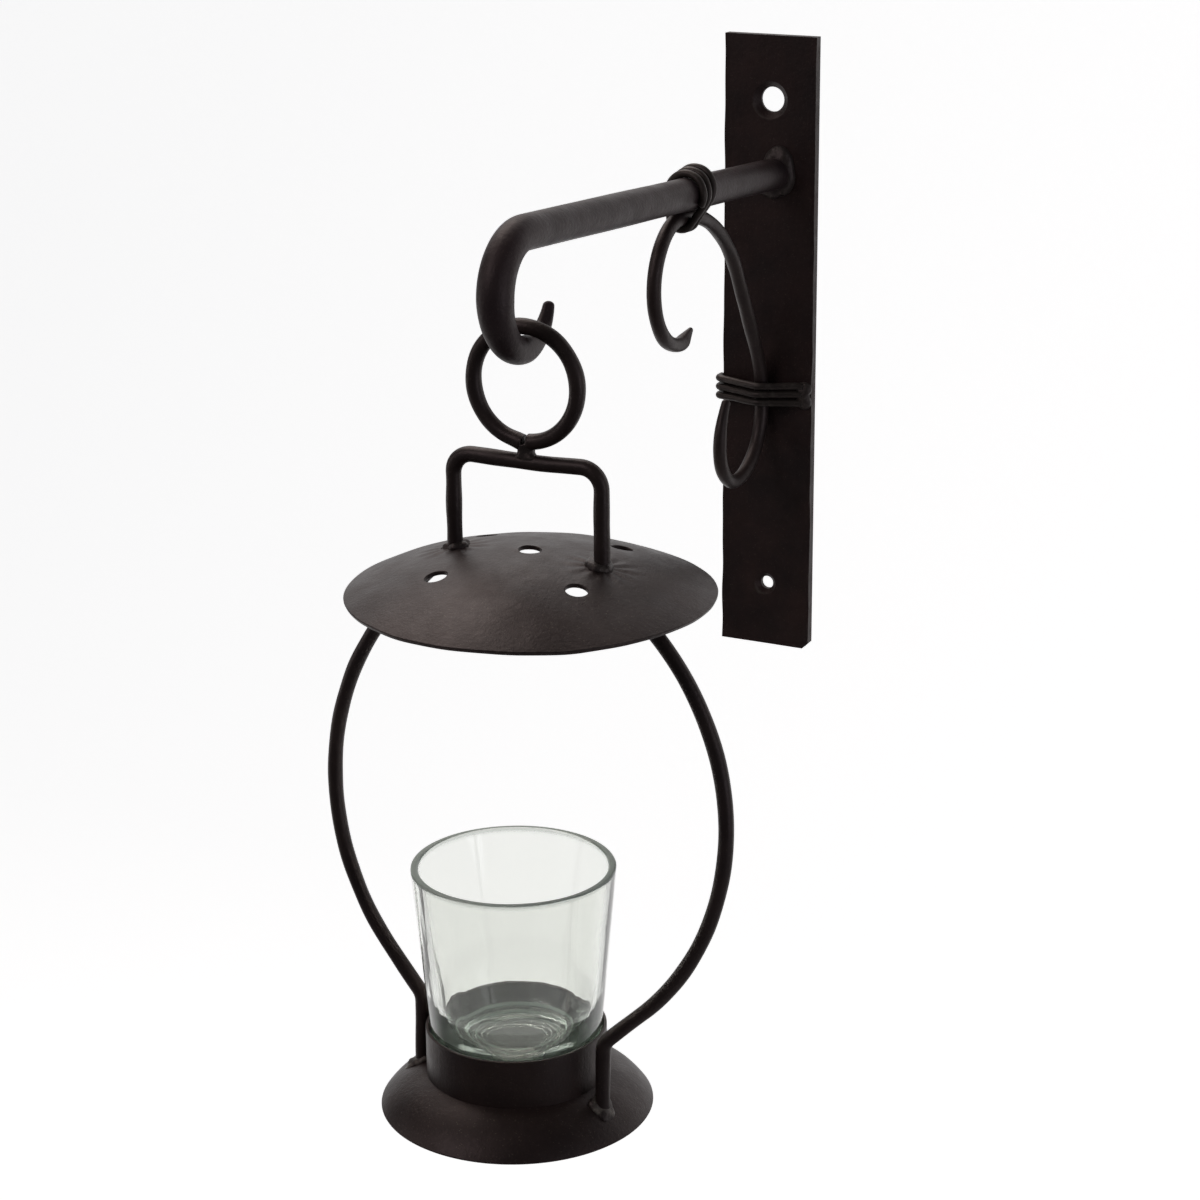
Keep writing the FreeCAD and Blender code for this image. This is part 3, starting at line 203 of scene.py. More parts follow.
def lacquer(name, tones, gloss, specks, drag, peel, rubbed_and_highlit=0.5, bare_metal_and_highlight=(0.085, 0.076, 0.066)):
    """Black-brown lacquer on iron. Two tones drift into each other, dust stands out as fine specks, the
    gloss follows a wide noise, and places marked in the wear attribute show paler, both rubbed wear and
    a painted highlight on the plate. The bump is brush drag along the grain with orange peel over it."""
    made = bpy.data.materials.new(name)
    made.use_nodes = True
    tree = made.node_tree
    shader = tree.nodes["Principled BSDF"]
    place = tree.nodes.new("ShaderNodeTexCoord").outputs["Object"]
    grain = add_node(tree, "ShaderNodeAttribute")
    grain.attribute_name = "grain"
    wear_and_highlight = add_node(tree, "ShaderNodeAttribute")
    wear_and_highlight.attribute_name = "wear_and_painted_light"
    drift = add_node(tree, "ShaderNodeTexNoise", Vector=place, Scale=55, Detail=5, Roughness=0.6)
    tone = add_node(tree, "ShaderNodeMapRange", Value=drift.outputs["Fac"], From_Min=0.35, From_Max=0.65)
    base = add_node(tree, "ShaderNodeMix")
    base.data_type = "RGBA"
    tree.links.new(tone.outputs[0], base.inputs[0])
    base.inputs[6].default_value = (*tones[0], 1)
    base.inputs[7].default_value = (*tones[1], 1)
    dust = add_node(tree, "ShaderNodeTexVoronoi", Vector=place, Scale=1500, Randomness=1)
    lone = add_node(tree, "ShaderNodeTexNoise", Vector=place, Scale=700, Detail=1)
    spot = add_node(tree, "ShaderNodeMapRange", Value=dust.outputs["Distance"], From_Min=0.34, From_Max=0.12)
    rare = add_node(tree, "ShaderNodeMapRange", Value=lone.outputs["Fac"], From_Min=0.5, From_Max=0.64)
    speck = add_node(tree, "ShaderNodeMath", _0=spot.outputs[0], _1=rare.outputs[0])
    speck.operation = "MULTIPLY"
    speck = add_node(tree, "ShaderNodeMath", _0=speck.outputs[0], _1=specks)
    speck.operation = "MULTIPLY"
    dusty = add_node(tree, "ShaderNodeMix")
    dusty.data_type = "RGBA"
    tree.links.new(speck.outputs[0], dusty.inputs[0])
    tree.links.new(base.outputs[2], dusty.inputs[6])
    dusty.inputs[7].default_value = (0.11, 0.09, 0.07, 1)
    patchy = add_node(tree, "ShaderNodeTexNoise", Vector=place, Scale=420, Detail=4)
    # Paler where the wear attribute and a patchy noise add up: rubbed wear, and a painted highlight on the
    # plate.
    bare_and_highlit = add_node(tree, "ShaderNodeMath", _0=patchy.outputs["Fac"], _1=wear_and_highlight.outputs["Fac"])
    bare_and_highlit = add_node(tree, "ShaderNodeMapRange", Value=bare_and_highlit.outputs[0], From_Min=0.95, From_Max=1.35,
                    To_Max=rubbed_and_highlit)
    colour = add_node(tree, "ShaderNodeMix")
    colour.data_type = "RGBA"
    tree.links.new(bare_and_highlit.outputs[0], colour.inputs[0])
    tree.links.new(dusty.outputs[2], colour.inputs[6])
    colour.inputs[7].default_value = (*bare_metal_and_highlight, 1)
    tree.links.new(colour.outputs[2], shader.inputs["Base Color"])
    sheen = add_node(tree, "ShaderNodeTexNoise", Vector=place, Scale=140, Detail=6, Roughness=0.65)
    rough = add_node(tree, "ShaderNodeMapRange", Value=sheen.outputs["Fac"], From_Min=0.3, From_Max=0.7,
                     To_Min=gloss[0], To_Max=gloss[1])
    tree.links.new(rough.outputs[0], shader.inputs["Roughness"])
    shader.inputs["Specular IOR Level"].default_value = 0.42
    shader.inputs["Specular Tint"].default_value = (1, 0.82, 0.8, 1)
    stretch = add_node(tree, "ShaderNodeMapping", Vector=grain.outputs["Vector"], Scale=(1, 1, 0.12))
    bristle = add_node(tree, "ShaderNodeTexNoise", Vector=stretch.outputs[0], Scale=900, Detail=2)
    orange = add_node(tree, "ShaderNodeTexNoise", Vector=place, Scale=800, Detail=3, Roughness=0.7)
    brushed = add_node(tree, "ShaderNodeBump", Strength=0.6, Distance=0.00006 * drag,
                       Height=bristle.outputs["Fac"])
    peeled = add_node(tree, "ShaderNodeBump", Strength=0.8, Distance=0.00016 * peel,
                      Height=orange.outputs["Fac"], Normal=brushed.outputs[0])
    tree.links.new(peeled.outputs[0], shader.inputs["Normal"])
    return made


def dress(name, points, faces, grain, wear_and_painted_light, finish, body, *nodes, slot="iron", sharp=40):
    """Makes a mesh of points in millimetres, joins points that coincide, turns its faces outwards, and
    has it ride on a body in place of its CAD nodes."""
    mesh = bpy.data.meshes.new(name)
    mesh.from_pydata((points * 0.001).tolist(), [], faces.tolist())
    mesh.attributes.new("grain", "FLOAT_VECTOR", "POINT").data.foreach_set("vector", grain.ravel() * 0.001)
    mesh.attributes.new("wear_and_painted_light", "FLOAT", "POINT").data.foreach_set("value", wear_and_painted_light.ravel())
    work = bmesh.new()
    work.from_mesh(mesh)
    bmesh.ops.remove_doubles(work, verts=work.verts, dist=2e-6)
    bmesh.ops.dissolve_degenerate(work, edges=work.edges, dist=1e-6)
    bmesh.ops.recalc_face_normals(work, faces=work.faces)
    work.to_mesh(mesh)
    work.free()
    mesh.shade_smooth()
    mesh.set_sharp_from_angle(angle=math.radians(sharp))
    mesh.materials.append(finish)
    piece = bpy.data.objects.new(name, mesh)
    bpy.context.scene.collection.objects.link(piece)
    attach(piece, body)
    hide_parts(*nodes)
    return piece


def slab(layers, keep):
    """Points and faces of a sheet given as grids of points, front to back. The first and last grid are
    faced where the cells are kept, and a wall joins the grids along every open edge."""
    rows, columns = layers[0].shape[:2]
    size = rows * columns
    index = np.arange(size).reshape(rows, columns)
    cells = np.stack([index[:-1, :-1], index[1:, :-1], index[1:, 1:], index[:-1, 1:]], -1)[keep]
    edges = np.concatenate([cells[:, [i, (i + 1) % 4]] for i in range(4)])
    # Points that coincide, on a seam or at a pole, count as one, so that no wall stands there.
    _, same = np.unique(layers[0].reshape(-1, 3).round(4), axis=0, return_inverse=True)
    key = np.sort(same.ravel()[edges], 1)
    _, first, count = np.unique(key[:, 0] * size + key[:, 1], return_index=True, return_counts=True)
    open_edges = edges[first[count == 1]]
    walls = [np.stack([open_edges[:, 1] + depth * size, open_edges[:, 0] + depth * size,
                       open_edges[:, 0] + (depth + 1) * size, open_edges[:, 1] + (depth + 1) * size], 1)
             for depth in range(len(layers) - 1)]
    back = cells[:, ::-1] + (len(layers) - 1) * size
    faces = np.concatenate([cells, back, *walls])
    used, faces = np.unique(faces, return_inverse=True)
    return np.concatenate([layer.reshape(-1, 3) for layer in layers])[used], faces.reshape(-1, 4)


def soften(piece, width, segments=2):
    """Rounds a piece's hard edges by a width in millimetres."""
    bevel = piece.modifiers.new("rounded_edges", "BEVEL")
    bevel.width, bevel.segments = width * 0.001, segments
    bevel.limit_method, bevel.angle_limit = "ANGLE", math.radians(38)


def plate_grid():
    """The plate's front as a grid one millimetre fine, moved so that lines meet at each hole."""
    across = np.linspace(-PLATE_HALF_WIDTH, PLATE_HALF_WIDTH, 31)
    upper, lower = (hole[0] for hole in SCREW_HOLES)
    marks = [-PLATE_HALF_LENGTH, lower - PUNCH_REACH, lower + PUNCH_REACH, upper - PUNCH_REACH,
             upper + PUNCH_REACH, PLATE_HALF_LENGTH]
    pieces = [np.linspace(low, high, max(2, round(high - low) + 1)) for low, high in zip(marks, marks[1:])]
    heights = np.unique(np.concatenate(pieces).round(6))
    grids, keep = [], np.ones((len(heights) - 1, len(across) - 1), bool)
    for mouth in (2, 1, 1):
        grid = np.stack(np.meshgrid(across, heights), -1)
        for hole in SCREW_HOLES:
            row = int(np.argmin(abs(heights - hole[0])))
            punch(grid, keep, row, len(across) // 2, np.array([0.0, hole[0]]), hole[mouth])
        over = grid[..., 0] - PLATE_HALF_WIDTH - PLATE_HALF_LENGTH - grid[..., 1] + PLATE_CLIP
        over = np.clip(over, 0, None)
        grid[..., 0] -= over / 2
        grid[..., 1] += over / 2
        grids.append(grid)
    return grids, keep


def plate_layer(grid, depth):
    """A grid of the plate at a depth behind its front, or at each hole's own depth."""
    return np.stack([grid[..., 0], np.broadcast_to(depth, grid.shape[:2]), grid[..., 1]], -1)


grids, keep = plate_grid()
near_upper = np.hypot(grids[1][..., 0], grids[1][..., 1] - SCREW_HOLES[0][0]) < PUNCH_REACH + 1
sink = np.where(near_upper, SCREW_HOLES[0][3], SCREW_HOLES[1][3])
layers = [plate_layer(grids[0], -PLATE_THICKNESS), plate_layer(grids[1], sink - PLATE_THICKNESS),
          plate_layer(grids[2], 0.0)]
layers[0][..., 1] -= 0.05 * unevenness(layers[0], 22, 1)
layers[0][..., 0] += 0.10 * unevenness(layers[0], 16, 2) * (abs(layers[0][..., 0]) > 14.5)
points, faces = slab(layers, keep)
edge = np.maximum(abs(points[:, 0]) / PLATE_HALF_WIDTH, abs(points[:, 2]) / PLATE_HALF_LENGTH)
wear_and_highlight = 0.25 * (edge > 0.995)
# Painted highlight: a pale crescent on the lower left of each countersink's mouth, where light catches it.
for height, _, mouth, _ in SCREW_HOLES:
    off = np.hypot(points[:, 0], points[:, 2] - height) - mouth
    painted_crescent_highlight = np.clip(-0.7 * points[:, 0] - 0.7 * (points[:, 2] - height), 0, mouth) / mouth
    wear_and_highlight = wear_and_highlight + 0.75 * painted_crescent_highlight * np.exp(-(off / 0.8) ** 2)
plate_paint = lacquer("plate_lacquer", ((0.007, 0.0037, 0.004), (0.024, 0.0115, 0.01)), (0.44, 0.62),
                      0.3, 1.4, 1.2)
plate = dress("wall_plate", points, faces, points, wear_and_highlight, plate_paint, "bracket", "back_plate", sharp=30)
soften(plate, 0.35, 3)


# The hook arm. One round bar leaves the plate rising a little, is bent down and back to the hook that
# holds the lantern's ring, and is drawn out by hammer to a blunt tip.

ARM_X, ARM_HEIGHT, ARM_RISE, ARM_RADIUS = 2.5, 54.9, 3.45, 4.8
ARM_BENDS = (  # length or radius, turn in degrees
    (162.1, 0), (15.0, -93.45), (15.6, -90.0), (14.0, -74.0),
)
HOOK_LOW_RADIUS, HOOK_TIP_RADIUS = 3.7, 1.45


def bent_line(start, heading, bends, spacing=0.05):
    """A bar's middle line in its plane as it is bent. The heading is even along a straight and grows
    evenly along a bend, and the place is the running sum of short steps along the heading. Gives the
    distance along the line, its points, and the distance at the end of each bend."""
    lengths = [size * math.radians(abs(turn)) if turn else size for size, turn in bends]
    marks = np.concatenate([[0], np.cumsum(lengths)])
    courses = heading + np.concatenate([[0], np.cumsum([turn for _, turn in bends])])
    along = np.linspace(0, marks[-1], round(marks[-1] / spacing) + 1)
    course = np.radians(np.interp((along[1:] + along[:-1]) / 2, marks, courses))
    steps = np.diff(along)[:, None] * np.stack([np.cos(course), np.sin(course)], 1)
    return along, np.concatenate([[[0, 0]], np.cumsum(steps, 0)]) + start, marks


def stations(first, last, nose, spacing):
    """Distances along a bar from first to last, closer together within a nose length of its ends."""
    near = nose * (1 - np.cos(np.linspace(0, math.pi / 2, 7)))
    count = max(2, round((last - first - 2 * nose) / spacing) + 1)
    middle = np.linspace(first + nose, last - nose, count)
    return np.concatenate([first + near[:-1], middle, last - near[-2::-1]])


def nosed(stops, radius, nose):
    """A bar's radius with rounded ends: within a nose length of an end it falls as a quarter ellipse."""
    inside = np.minimum(stops - stops[0], stops[-1] - stops) / nose
    return radius * np.sqrt(1 - (1 - np.clip(inside, 0, 1)) ** 2)


def bar(line, square, radius, around):
    """A round bar: at each point of a line, a ring square to it. A ring's point is the line's, plus the
    radius times the cosine of an angle along the direction given and its sine across it."""
    ahead = np.gradient(line, axis=0)
    ahead /= np.linalg.norm(ahead, axis=1, keepdims=True)
    over = np.cross(ahead, square)
    over /= np.linalg.norm(over, axis=1, keepdims=True)
    side = np.cross(over, ahead)
    angle = np.linspace(0, 2 * math.pi, around, endpoint=False)
    radius = np.broadcast_to(np.asarray(radius).reshape(len(line), -1), (len(line), around))[..., None]
    ring = np.cos(angle)[None, :, None] * side[:, None] + np.sin(angle)[None, :, None] * over[:, None]
    points = line[:, None] + radius * ring
    far = np.concatenate([[0], np.cumsum(np.linalg.norm(np.diff(line, axis=0), axis=1))])
    grain = np.concatenate([radius * np.stack([np.cos(angle), np.sin(angle)], 1)[None],
                            np.broadcast_to(far[:, None, None], (len(line), around, 1))], -1)
    return points, grain


def rings(count, around, closed=False):
    """Faces between successive rings of points, each ring closed on itself, and the last ring joined
    to the first if the whole is closed."""
    index = np.arange(count * around).reshape(count, around)
    index = np.concatenate([index, index[:, :1]], 1)
    if closed:
        index = np.concatenate([index, index[:1]])
    return np.stack([index[:-1, :-1], index[1:, :-1], index[1:, 1:], index[:-1, 1:]], -1).reshape(-1, 4)


def along_line(stops, along, flat):
    """The points of a line at the given distances."""
    return np.stack([np.interp(stops, along, flat[:, i]) for i in range(flat.shape[1])], 1)


along, flat, marks = bent_line((PLATE_THICKNESS - 0.5, ARM_HEIGHT), ARM_RISE, ARM_BENDS)
stops = stations(0, marks[-1], 1.1, 0.7)
flat = along_line(stops, along, flat)
line = np.stack([np.full(len(flat), ARM_X), -flat[:, 0], flat[:, 1]], 1)
radius = np.interp(stops, [0, marks[2], marks[3], marks[4]],
                   [ARM_RADIUS, ARM_RADIUS, HOOK_LOW_RADIUS, HOOK_TIP_RADIUS])
radius = nosed(stops, radius, 1.1)
angle = np.linspace(0, 2 * math.pi, 48, endpoint=False)
drawn = np.clip((stops - marks[3]) / (marks[4] - marks[3]), 0, 1)[:, None]
square = 1 + 0.10 * drawn * np.cos(4 * angle + 0.6)
arm_points, arm_grain = bar(line, (1, 0, 0), radius[:, None] * square, 48)
swell = 0.07 * unevenness(arm_points, 40, 3) + 0.05 * unevenness(arm_points, 9, 4) * (0.1 + drawn)
arm_points += (arm_points - line[:, None]) * (swell / ARM_RADIUS)[..., None]
# The ring has rubbed the inside of the hook.
wear_and_painted_light = np.broadcast_to(0.18 + 0.25 * np.exp(-((stops[:, None] - marks[1] - 22) / 14) ** 2)
                       * np.clip(-np.sin(angle), 0, 1), arm_points.shape[:2])
arm_paint = lacquer("arm_lacquer", ((0.017, 0.011, 0.0125), (0.03, 0.0195, 0.0205)), (0.4, 0.55),
                    0.3, 0.8, 1.2)
dress("hook_bar", arm_points.reshape(-1, 3), rings(len(line), 48), arm_grain, wear_and_painted_light, arm_paint,
      "bracket", "hook_arm")


# The arm's weld, a rounded collar of run metal where the bar meets the plate. It was laid by hand, is
# a little lumpy and has been painted over with the rest.

ARM_WELD_WIDTH, ARM_WELD_HEIGHT, ARM_WELD_RISE = 6.3, 7.4, 2.3


def bead(centre, across, out, core, foot, rise, lie, seed, lumps, smear=(0, 0)):
    """A collar of weld round a bar. Its section is a closed oval whose outer half reaches from the bar
    to the foot and whose inner half stays inside the bar. It follows the surface that it lies on, stays
    shallow under it, lumps push it in and out, and a smear carries it further out in one direction."""
    across, up, out = (np.array(way, float) for way in (*across, out))
    turn = np.linspace(0, 2 * math.pi, 48, endpoint=False)[:, None]
    roll = np.linspace(0, 2 * math.pi, 20, endpoint=False)[None]
    ways = np.concatenate([np.cos(turn), np.sin(turn), 0 * turn], 1)
    ragged = 1 + 0.6 * lumps * unevenness(ways, 1.7, seed)[:, None]
    outward = np.hypot(foot[0] * np.cos(turn), foot[1] * np.sin(turn)) * ragged - core
    outward = outward * (1 + smear[1] * np.exp(3 * (np.cos(turn - smear[0]) - 1)))
    reach = core + np.where(np.cos(roll) > 0, outward, 0.8 * core) * np.cos(roll)
    x, y = reach * np.cos(turn), reach * np.sin(turn)
    bulge = np.where(np.sin(roll) > 0, 1, 0.35) * np.sin(roll)
    height = lie(x, y) + rise * bulge * (1 + 0.5 * (ragged - 1))
    points = centre + x[..., None] * across + y[..., None] * up + height[..., None] * out
    outside = (np.cos(roll) > 0)[..., None]
    points = points + outside * lumps * 0.45 * unevenness(points, 3.1, seed + 50)[..., None] * (
        np.cos(turn)[..., None] * across + np.sin(turn)[..., None] * up + 0.8 * out)
    return points


def flat_ground(x, y):
    """Level ground under a weld."""
    return 0 * x * y


def dress_bead(name, points, wear_and_painted_light, finish, body, node):
    """Makes a weld's piece of its rings of points."""
    dress(name, points.reshape(-1, 3), rings(*points.shape[:2], closed=True), points,
          np.full(points.shape[:2], wear_and_painted_light), finish, body, node)


def dress_rod(name, line, square, radius, around, lumps, wear_and_painted_light, finish, body, node, thinned=0.0):
    """Makes a rod's piece: a bar whose thickness wavers by a share, over a wavelength, from a seed, and
    is less by the share that it is thinned."""
    share, wavelength, seed = lumps
    points, grain = bar(line, square, radius, around)
    points += (points - line[:, None]) * (share * unevenness(points, wavelength, seed) - thinned)[..., None]
    dress(name, points.reshape(-1, 3), rings(len(line), around), grain,
          np.full(points.shape[:2], wear_and_painted_light), finish, body, node)


weld_paint = lacquer("weld_lacquer", ((0.018, 0.014, 0.0135), (0.034, 0.028, 0.025)), (0.34, 0.5),
                     0.3, 0.5, 2.0, 0.8)
# Paint has chipped off the welds on the base, which show pale there.
chipped_paint = lacquer("chipped_lacquer", ((0.018, 0.014, 0.0135), (0.04, 0.032, 0.027)), (0.34, 0.5),
                        0.3, 0.5, 2.0, 0.95, (0.22, 0.2, 0.17))
points = bead((ARM_X, -PLATE_THICKNESS, ARM_HEIGHT), ((1, 0, 0), (0, 0, 1)), (0, -1, 0), ARM_RADIUS - 0.9,
              (ARM_WELD_WIDTH, ARM_WELD_HEIGHT), ARM_WELD_RISE, flat_ground, 11, 0.25)
dress_bead("arm_collar", points, 0.35, weld_paint, "bracket", "arm_weld")


# The scroll brace, a thin round rod. From the plate it sweeps up and out under the arm and curls round
# to a drawn-out point, and its foot curls under. Its plane leans a little to the right.

ROD_RADIUS = 2.15
BRACE_X, BRACE_LEAN, BRACE_REACH, BRACE_HEIGHT = -1.0, math.radians(1.45), 5.2, -17.272
# Length or radius, and turn in degrees, upwards and downwards from where the rod lies at the plate.
BRACE_UPPER = ((39.0, 30.7), (29.3, 0), (49.0, 59.3), (18.1, 90.0), (18.6, 89.5), (5.0, 23.5), (6.5, 0))
BRACE_LOWER = ((19.6, -90.0), (13.2, -90.0), (21.7, -40.0))
BRACE_POINT_RADIUS, BRACE_TOE_RADIUS = 0.6, 1.4

start = np.array([-BRACE_REACH, BRACE_HEIGHT])
upper_along, upper, upper_marks = bent_line(start, 90, BRACE_UPPER)
lower_along, lower, lower_marks = bent_line(start, -90, BRACE_LOWER)
along = np.concatenate([-lower_along[:0:-1], upper_along])
flat = np.concatenate([lower[:0:-1], upper])
stops = stations(along[0], along[-1], 0.8, 0.6)
flat = along_line(stops, along, flat)
line = np.stack([BRACE_X - flat[:, 0] * math.sin(BRACE_LEAN), flat[:, 0] * math.cos(BRACE_LEAN),
                 flat[:, 1]], 1)
radius = np.interp(stops, [-lower_marks[3], -lower_marks[2], upper_marks[6], upper_marks[7]],
                   [BRACE_TOE_RADIUS, ROD_RADIUS, ROD_RADIUS, BRACE_POINT_RADIUS])
radius = nosed(stops, radius, 0.8)
across = np.array([math.cos(BRACE_LEAN), math.sin(BRACE_LEAN), 0])
rod_paint = lacquer("rod_lacquer", ((0.014, 0.0095, 0.0095), (0.027, 0.0185, 0.0165)), (0.36, 0.52),
                    0.25, 1.0, 0.8)
dress_rod("scroll_rod", line, across, radius, 32, (0.03, 12, 7), 0.2, rod_paint, "bracket", "scroll_brace")


# The arm's tie. Wire wound three times round arm and scroll, snug at the sides and slack over the arm,
# its ends nipped off beside the bar.

WIRE_RADIUS, WIRE_PITCH = 1.1, 2.7
# Radius of the round over the bar, the room over it in the last turn, and the round under the scroll.
TIE_SIDE, TIE_SLACK, TIE_HUG = 5.95, 1.55, 3.3
TIE_CENTRE = np.array([ARM_X, -65.087, 58.643])
BRACE_UNDER = (-1.85, -6.975)  # the scroll's rod beneath the bar, seen along the bar


def tie_line():
    """The wire's line beside the bar: at each turn it lies on whichever of two rounds reaches further
    that way, one over the bar and one under the scroll, with straights between them. It moves along the
    bar evenly with its turn, the windings drawn together a little under the scroll."""
    turn = np.radians(np.linspace(-32, 932, 1500))
    way = np.stack([np.cos(turn), np.sin(turn)], 1)
    slack = TIE_SLACK * np.clip((turn - math.pi / 2) / (4 * math.pi), 0.06, 1)
    over = np.stack([0.35 * slack, slack], 1)
    under = np.array(BRACE_UNDER)
    lower = under @ way.T + TIE_HUG > (over * way).sum(1) + TIE_SIDE
    place = np.where(lower[:, None], under + TIE_HUG * way, over + TIE_SIDE * way)
    along = WIRE_PITCH * (turn / (2 * math.pi) - 1.25) * (1 - 0.12 * np.clip(-way[:, 1], 0, 1))
    return np.stack([place[:, 0], along, place[:, 1]], 1)


local = tie_line()
far = np.concatenate([[0], np.cumsum(np.linalg.norm(np.diff(local, axis=0), axis=1))])
stops = stations(0, far[-1], 0.5, 0.45)
local = along_line(stops, far, local)
rise = math.radians(ARM_RISE)
line = TIE_CENTRE + np.stack([local[:, 0], local[:, 1] * math.cos(rise) + local[:, 2] * math.sin(rise),
                              local[:, 2] * math.cos(rise) - local[:, 1] * math.sin(rise)], 1)
wire_paint = lacquer("wire_lacquer", ((0.014, 0.012, 0.0105), (0.03, 0.025, 0.021)), (0.34, 0.5),
                     0.2, 1.4, 0.6, 0.9)
dress_rod("arm_binding", line, (0, math.cos(rise), -math.sin(rise)), nosed(stops, WIRE_RADIUS, 0.5), 24,
          (0.05, 6, 13), 0.42, wire_paint, "bracket", "arm_tie")


# The plate's ties. Three wires, one above the other, are tucked round the plate's left edge, pass over
# the scroll, which they hold to the plate, and end under a short upright weld on the right.

STRAP_START, STRAP_TUCK, STRAP_CORNER, STRAP_CREST = (-16.15, -1.2), 2.2, 1.6, 3.35
STRAP_WELD_X, STRAP_WELD_Z = 12.6, -13.3
STRAPS = (  # name, height, slope up to the scroll, first straight, slope down, last straight
    ("upper_strap", -10.572, 17.089, 13.791, 21.219, 13.132),
    ("middle_strap", -13.272, 15.605, 13.722, 19.673, 13.100),
    ("lower_strap", -15.972, 14.868, 13.691, 18.906, 13.089),
)
for name, height, climb, first_run, fall, last_run in STRAPS:
    along, flat, _ = bent_line(STRAP_START, -90, (
        (STRAP_TUCK, 0), (STRAP_CORNER, 90 - climb), (first_run, 0), (STRAP_CREST, climb + fall),
        (last_run, 0)))
    stops = stations(0, along[-1], 0.4, 0.5)
    flat = along_line(stops, along, flat)
    line = np.stack([flat[:, 0], flat[:, 1], np.full(len(flat), height)], 1)
    line[:, 2] += 0.12 * unevenness(line, 17, 20) + 0.06 * unevenness(line, 7, round(-height))
    points, grain = bar(line, (0, 0, 1), nosed(stops, WIRE_RADIUS, 0.4), 24)
    dress(name.replace("strap", "wire"), points.reshape(-1, 3), rings(len(line), 24), grain,
          np.full(points.shape[:2], 0.42), wire_paint, "bracket", name)

points = bead((STRAP_WELD_X, -PLATE_THICKNESS, STRAP_WELD_Z), ((1, 0, 0), (0, 0, 1)), (0, -1, 0), 0.4,
              (1.9, 4.6), 2.2, flat_ground, 23, 0.12)
dress_bead("wire_weld", points, 0.45, weld_paint, "bracket", "strap_weld")


# The ring on the hook, a rod bent round until its cut ends meet at the bottom, one end standing a
# little proud, and the neck of weld that joins it to the bail.

LANTERN_Y = -165.109
RING_HEIGHT, RING_RADIUS = 24.832, 15.4
RING_START, RING_END, RING_NOSE = -88.5, 268.5, 2.0  # degrees round the ring
BAIL_HEIGHT = 4.232

turn = np.radians(stations(RING_START, RING_END, RING_NOSE, 2.5))
reach = RING_RADIUS + 0.5 * np.exp(-((np.degrees(turn) - RING_END) / 7) ** 2)
line = np.stack([ARM_X + reach * np.cos(turn), np.full(len(turn), LANTERN_Y),
                 RING_HEIGHT + reach * np.sin(turn)], 1)
radius = nosed(np.degrees(turn), ROD_RADIUS, RING_NOSE)
radius = radius * (1 + 0.06 * np.exp(-((np.degrees(turn) - 265) / 8) ** 2))
dress_rod("hook_ring", line, (0, 1, 0), radius, 32, (0.025, 10, 31), 0.2, rod_paint, "lantern",
          "hanging_ring")

NECK_WAIST, NECK_FLARE, NECK_HALF_HEIGHT, NECK_DEPTH = 2.3, 4.2, 2.4, 2.1


def neck():
    """The neck of weld: oval rings from inside the ring's rod down into the bail's bar. Their width
    grows from the waist with the square of the distance from it."""
    share = np.linspace(-1, 1, 25)[:, None]
    turn = np.linspace(0, 2 * math.pi, 40, endpoint=False)[None]
    height = (RING_HEIGHT - RING_RADIUS + BAIL_HEIGHT) / 2 + NECK_HALF_HEIGHT * share
    width = NECK_WAIST + NECK_FLARE * share ** 2 * np.where(share < 0, 1, 0.5)
    width = width * np.sqrt(np.clip(1 - share ** 12, 0, 1))
    depth = NECK_DEPTH * np.sqrt(np.clip(1 - share ** 12, 0, 1))
    points = np.stack(np.broadcast_arrays(
        ARM_X + width * np.cos(turn), LANTERN_Y + depth * np.sin(turn), height), -1)
    return points + 0.22 * unevenness(points, 3.4, 33)[..., None] * np.stack(
        np.broadcast_arrays(np.cos(turn), np.sin(turn), 0 * height), -1) * (abs(share) < 0.99)[..., None]


points = neck()
dress("ring_neck", points.reshape(-1, 3), rings(*points.shape[:2]), points, np.full(points.shape[:2], 0.35),
      weld_paint, "lantern", "ring_weld")


# The canopy, a disc of steel sheet pressed to a shallow dish, with five vents punched from above. Dust
# in the lacquer shows as fine specks, and the heat of welding has puckered it round the bail's feet.

CANOPY_X, CANOPY_RADIUS, CANOPY_SHEET = 3.3, 50.0, 1.2
CANOPY_BALL, CANOPY_BALL_HEIGHT = 114.446, -134.614
VENT_RADIUS, VENT_REACH, VENT_TURN = 3.0, 27.5, -36.0
BAIL_HALF_WIDTH = 22.2
BURR_RISE, BURR_WIDTH, BURR_WAY = 0.5, 0.9, 2.6
PUCKERS, PUCKER_DEPTH, PUCKER_REACH, PUCKER_WIDTH = 11, 0.16, 6, 4
SHEET_ROUNDING = 0.25


def canopy_surface(x, y, thickness=0.0):
    """Height of the canopy's outer ball, or of the ball a sheet's thickness inside it."""
    return CANOPY_BALL_HEIGHT + np.sqrt((CANOPY_BALL - thickness) ** 2 - x ** 2 - y ** 2)


rows, columns = 71, 257
reach = np.linspace(VENT_RADIUS, CANOPY_RADIUS, rows)
turn = np.radians(VENT_TURN - 45 + np.linspace(0, 360, columns))
grid = reach[:, None, None] * np.stack([np.cos(turn), np.sin(turn)], -1)[None]
keep = np.ones((rows - 1, columns - 1), bool)
vent_row = int(np.argmin(abs(reach - VENT_REACH)))
for number in range(4):
    way = math.radians(VENT_TURN + 90 * number)
    centre = VENT_REACH * np.array([math.cos(way), math.sin(way)])
    punch(grid, keep, vent_row, (2 * number + 1) * (columns - 1) // 8, centre, VENT_RADIUS)
x, y = grid[..., 0], grid[..., 1]
flat_points = np.stack([x, y, 0 * x], -1)
dents = 0.22 * unevenness(flat_points, 48, 41) + 0.06 * unevenness(flat_points, 14, 42)
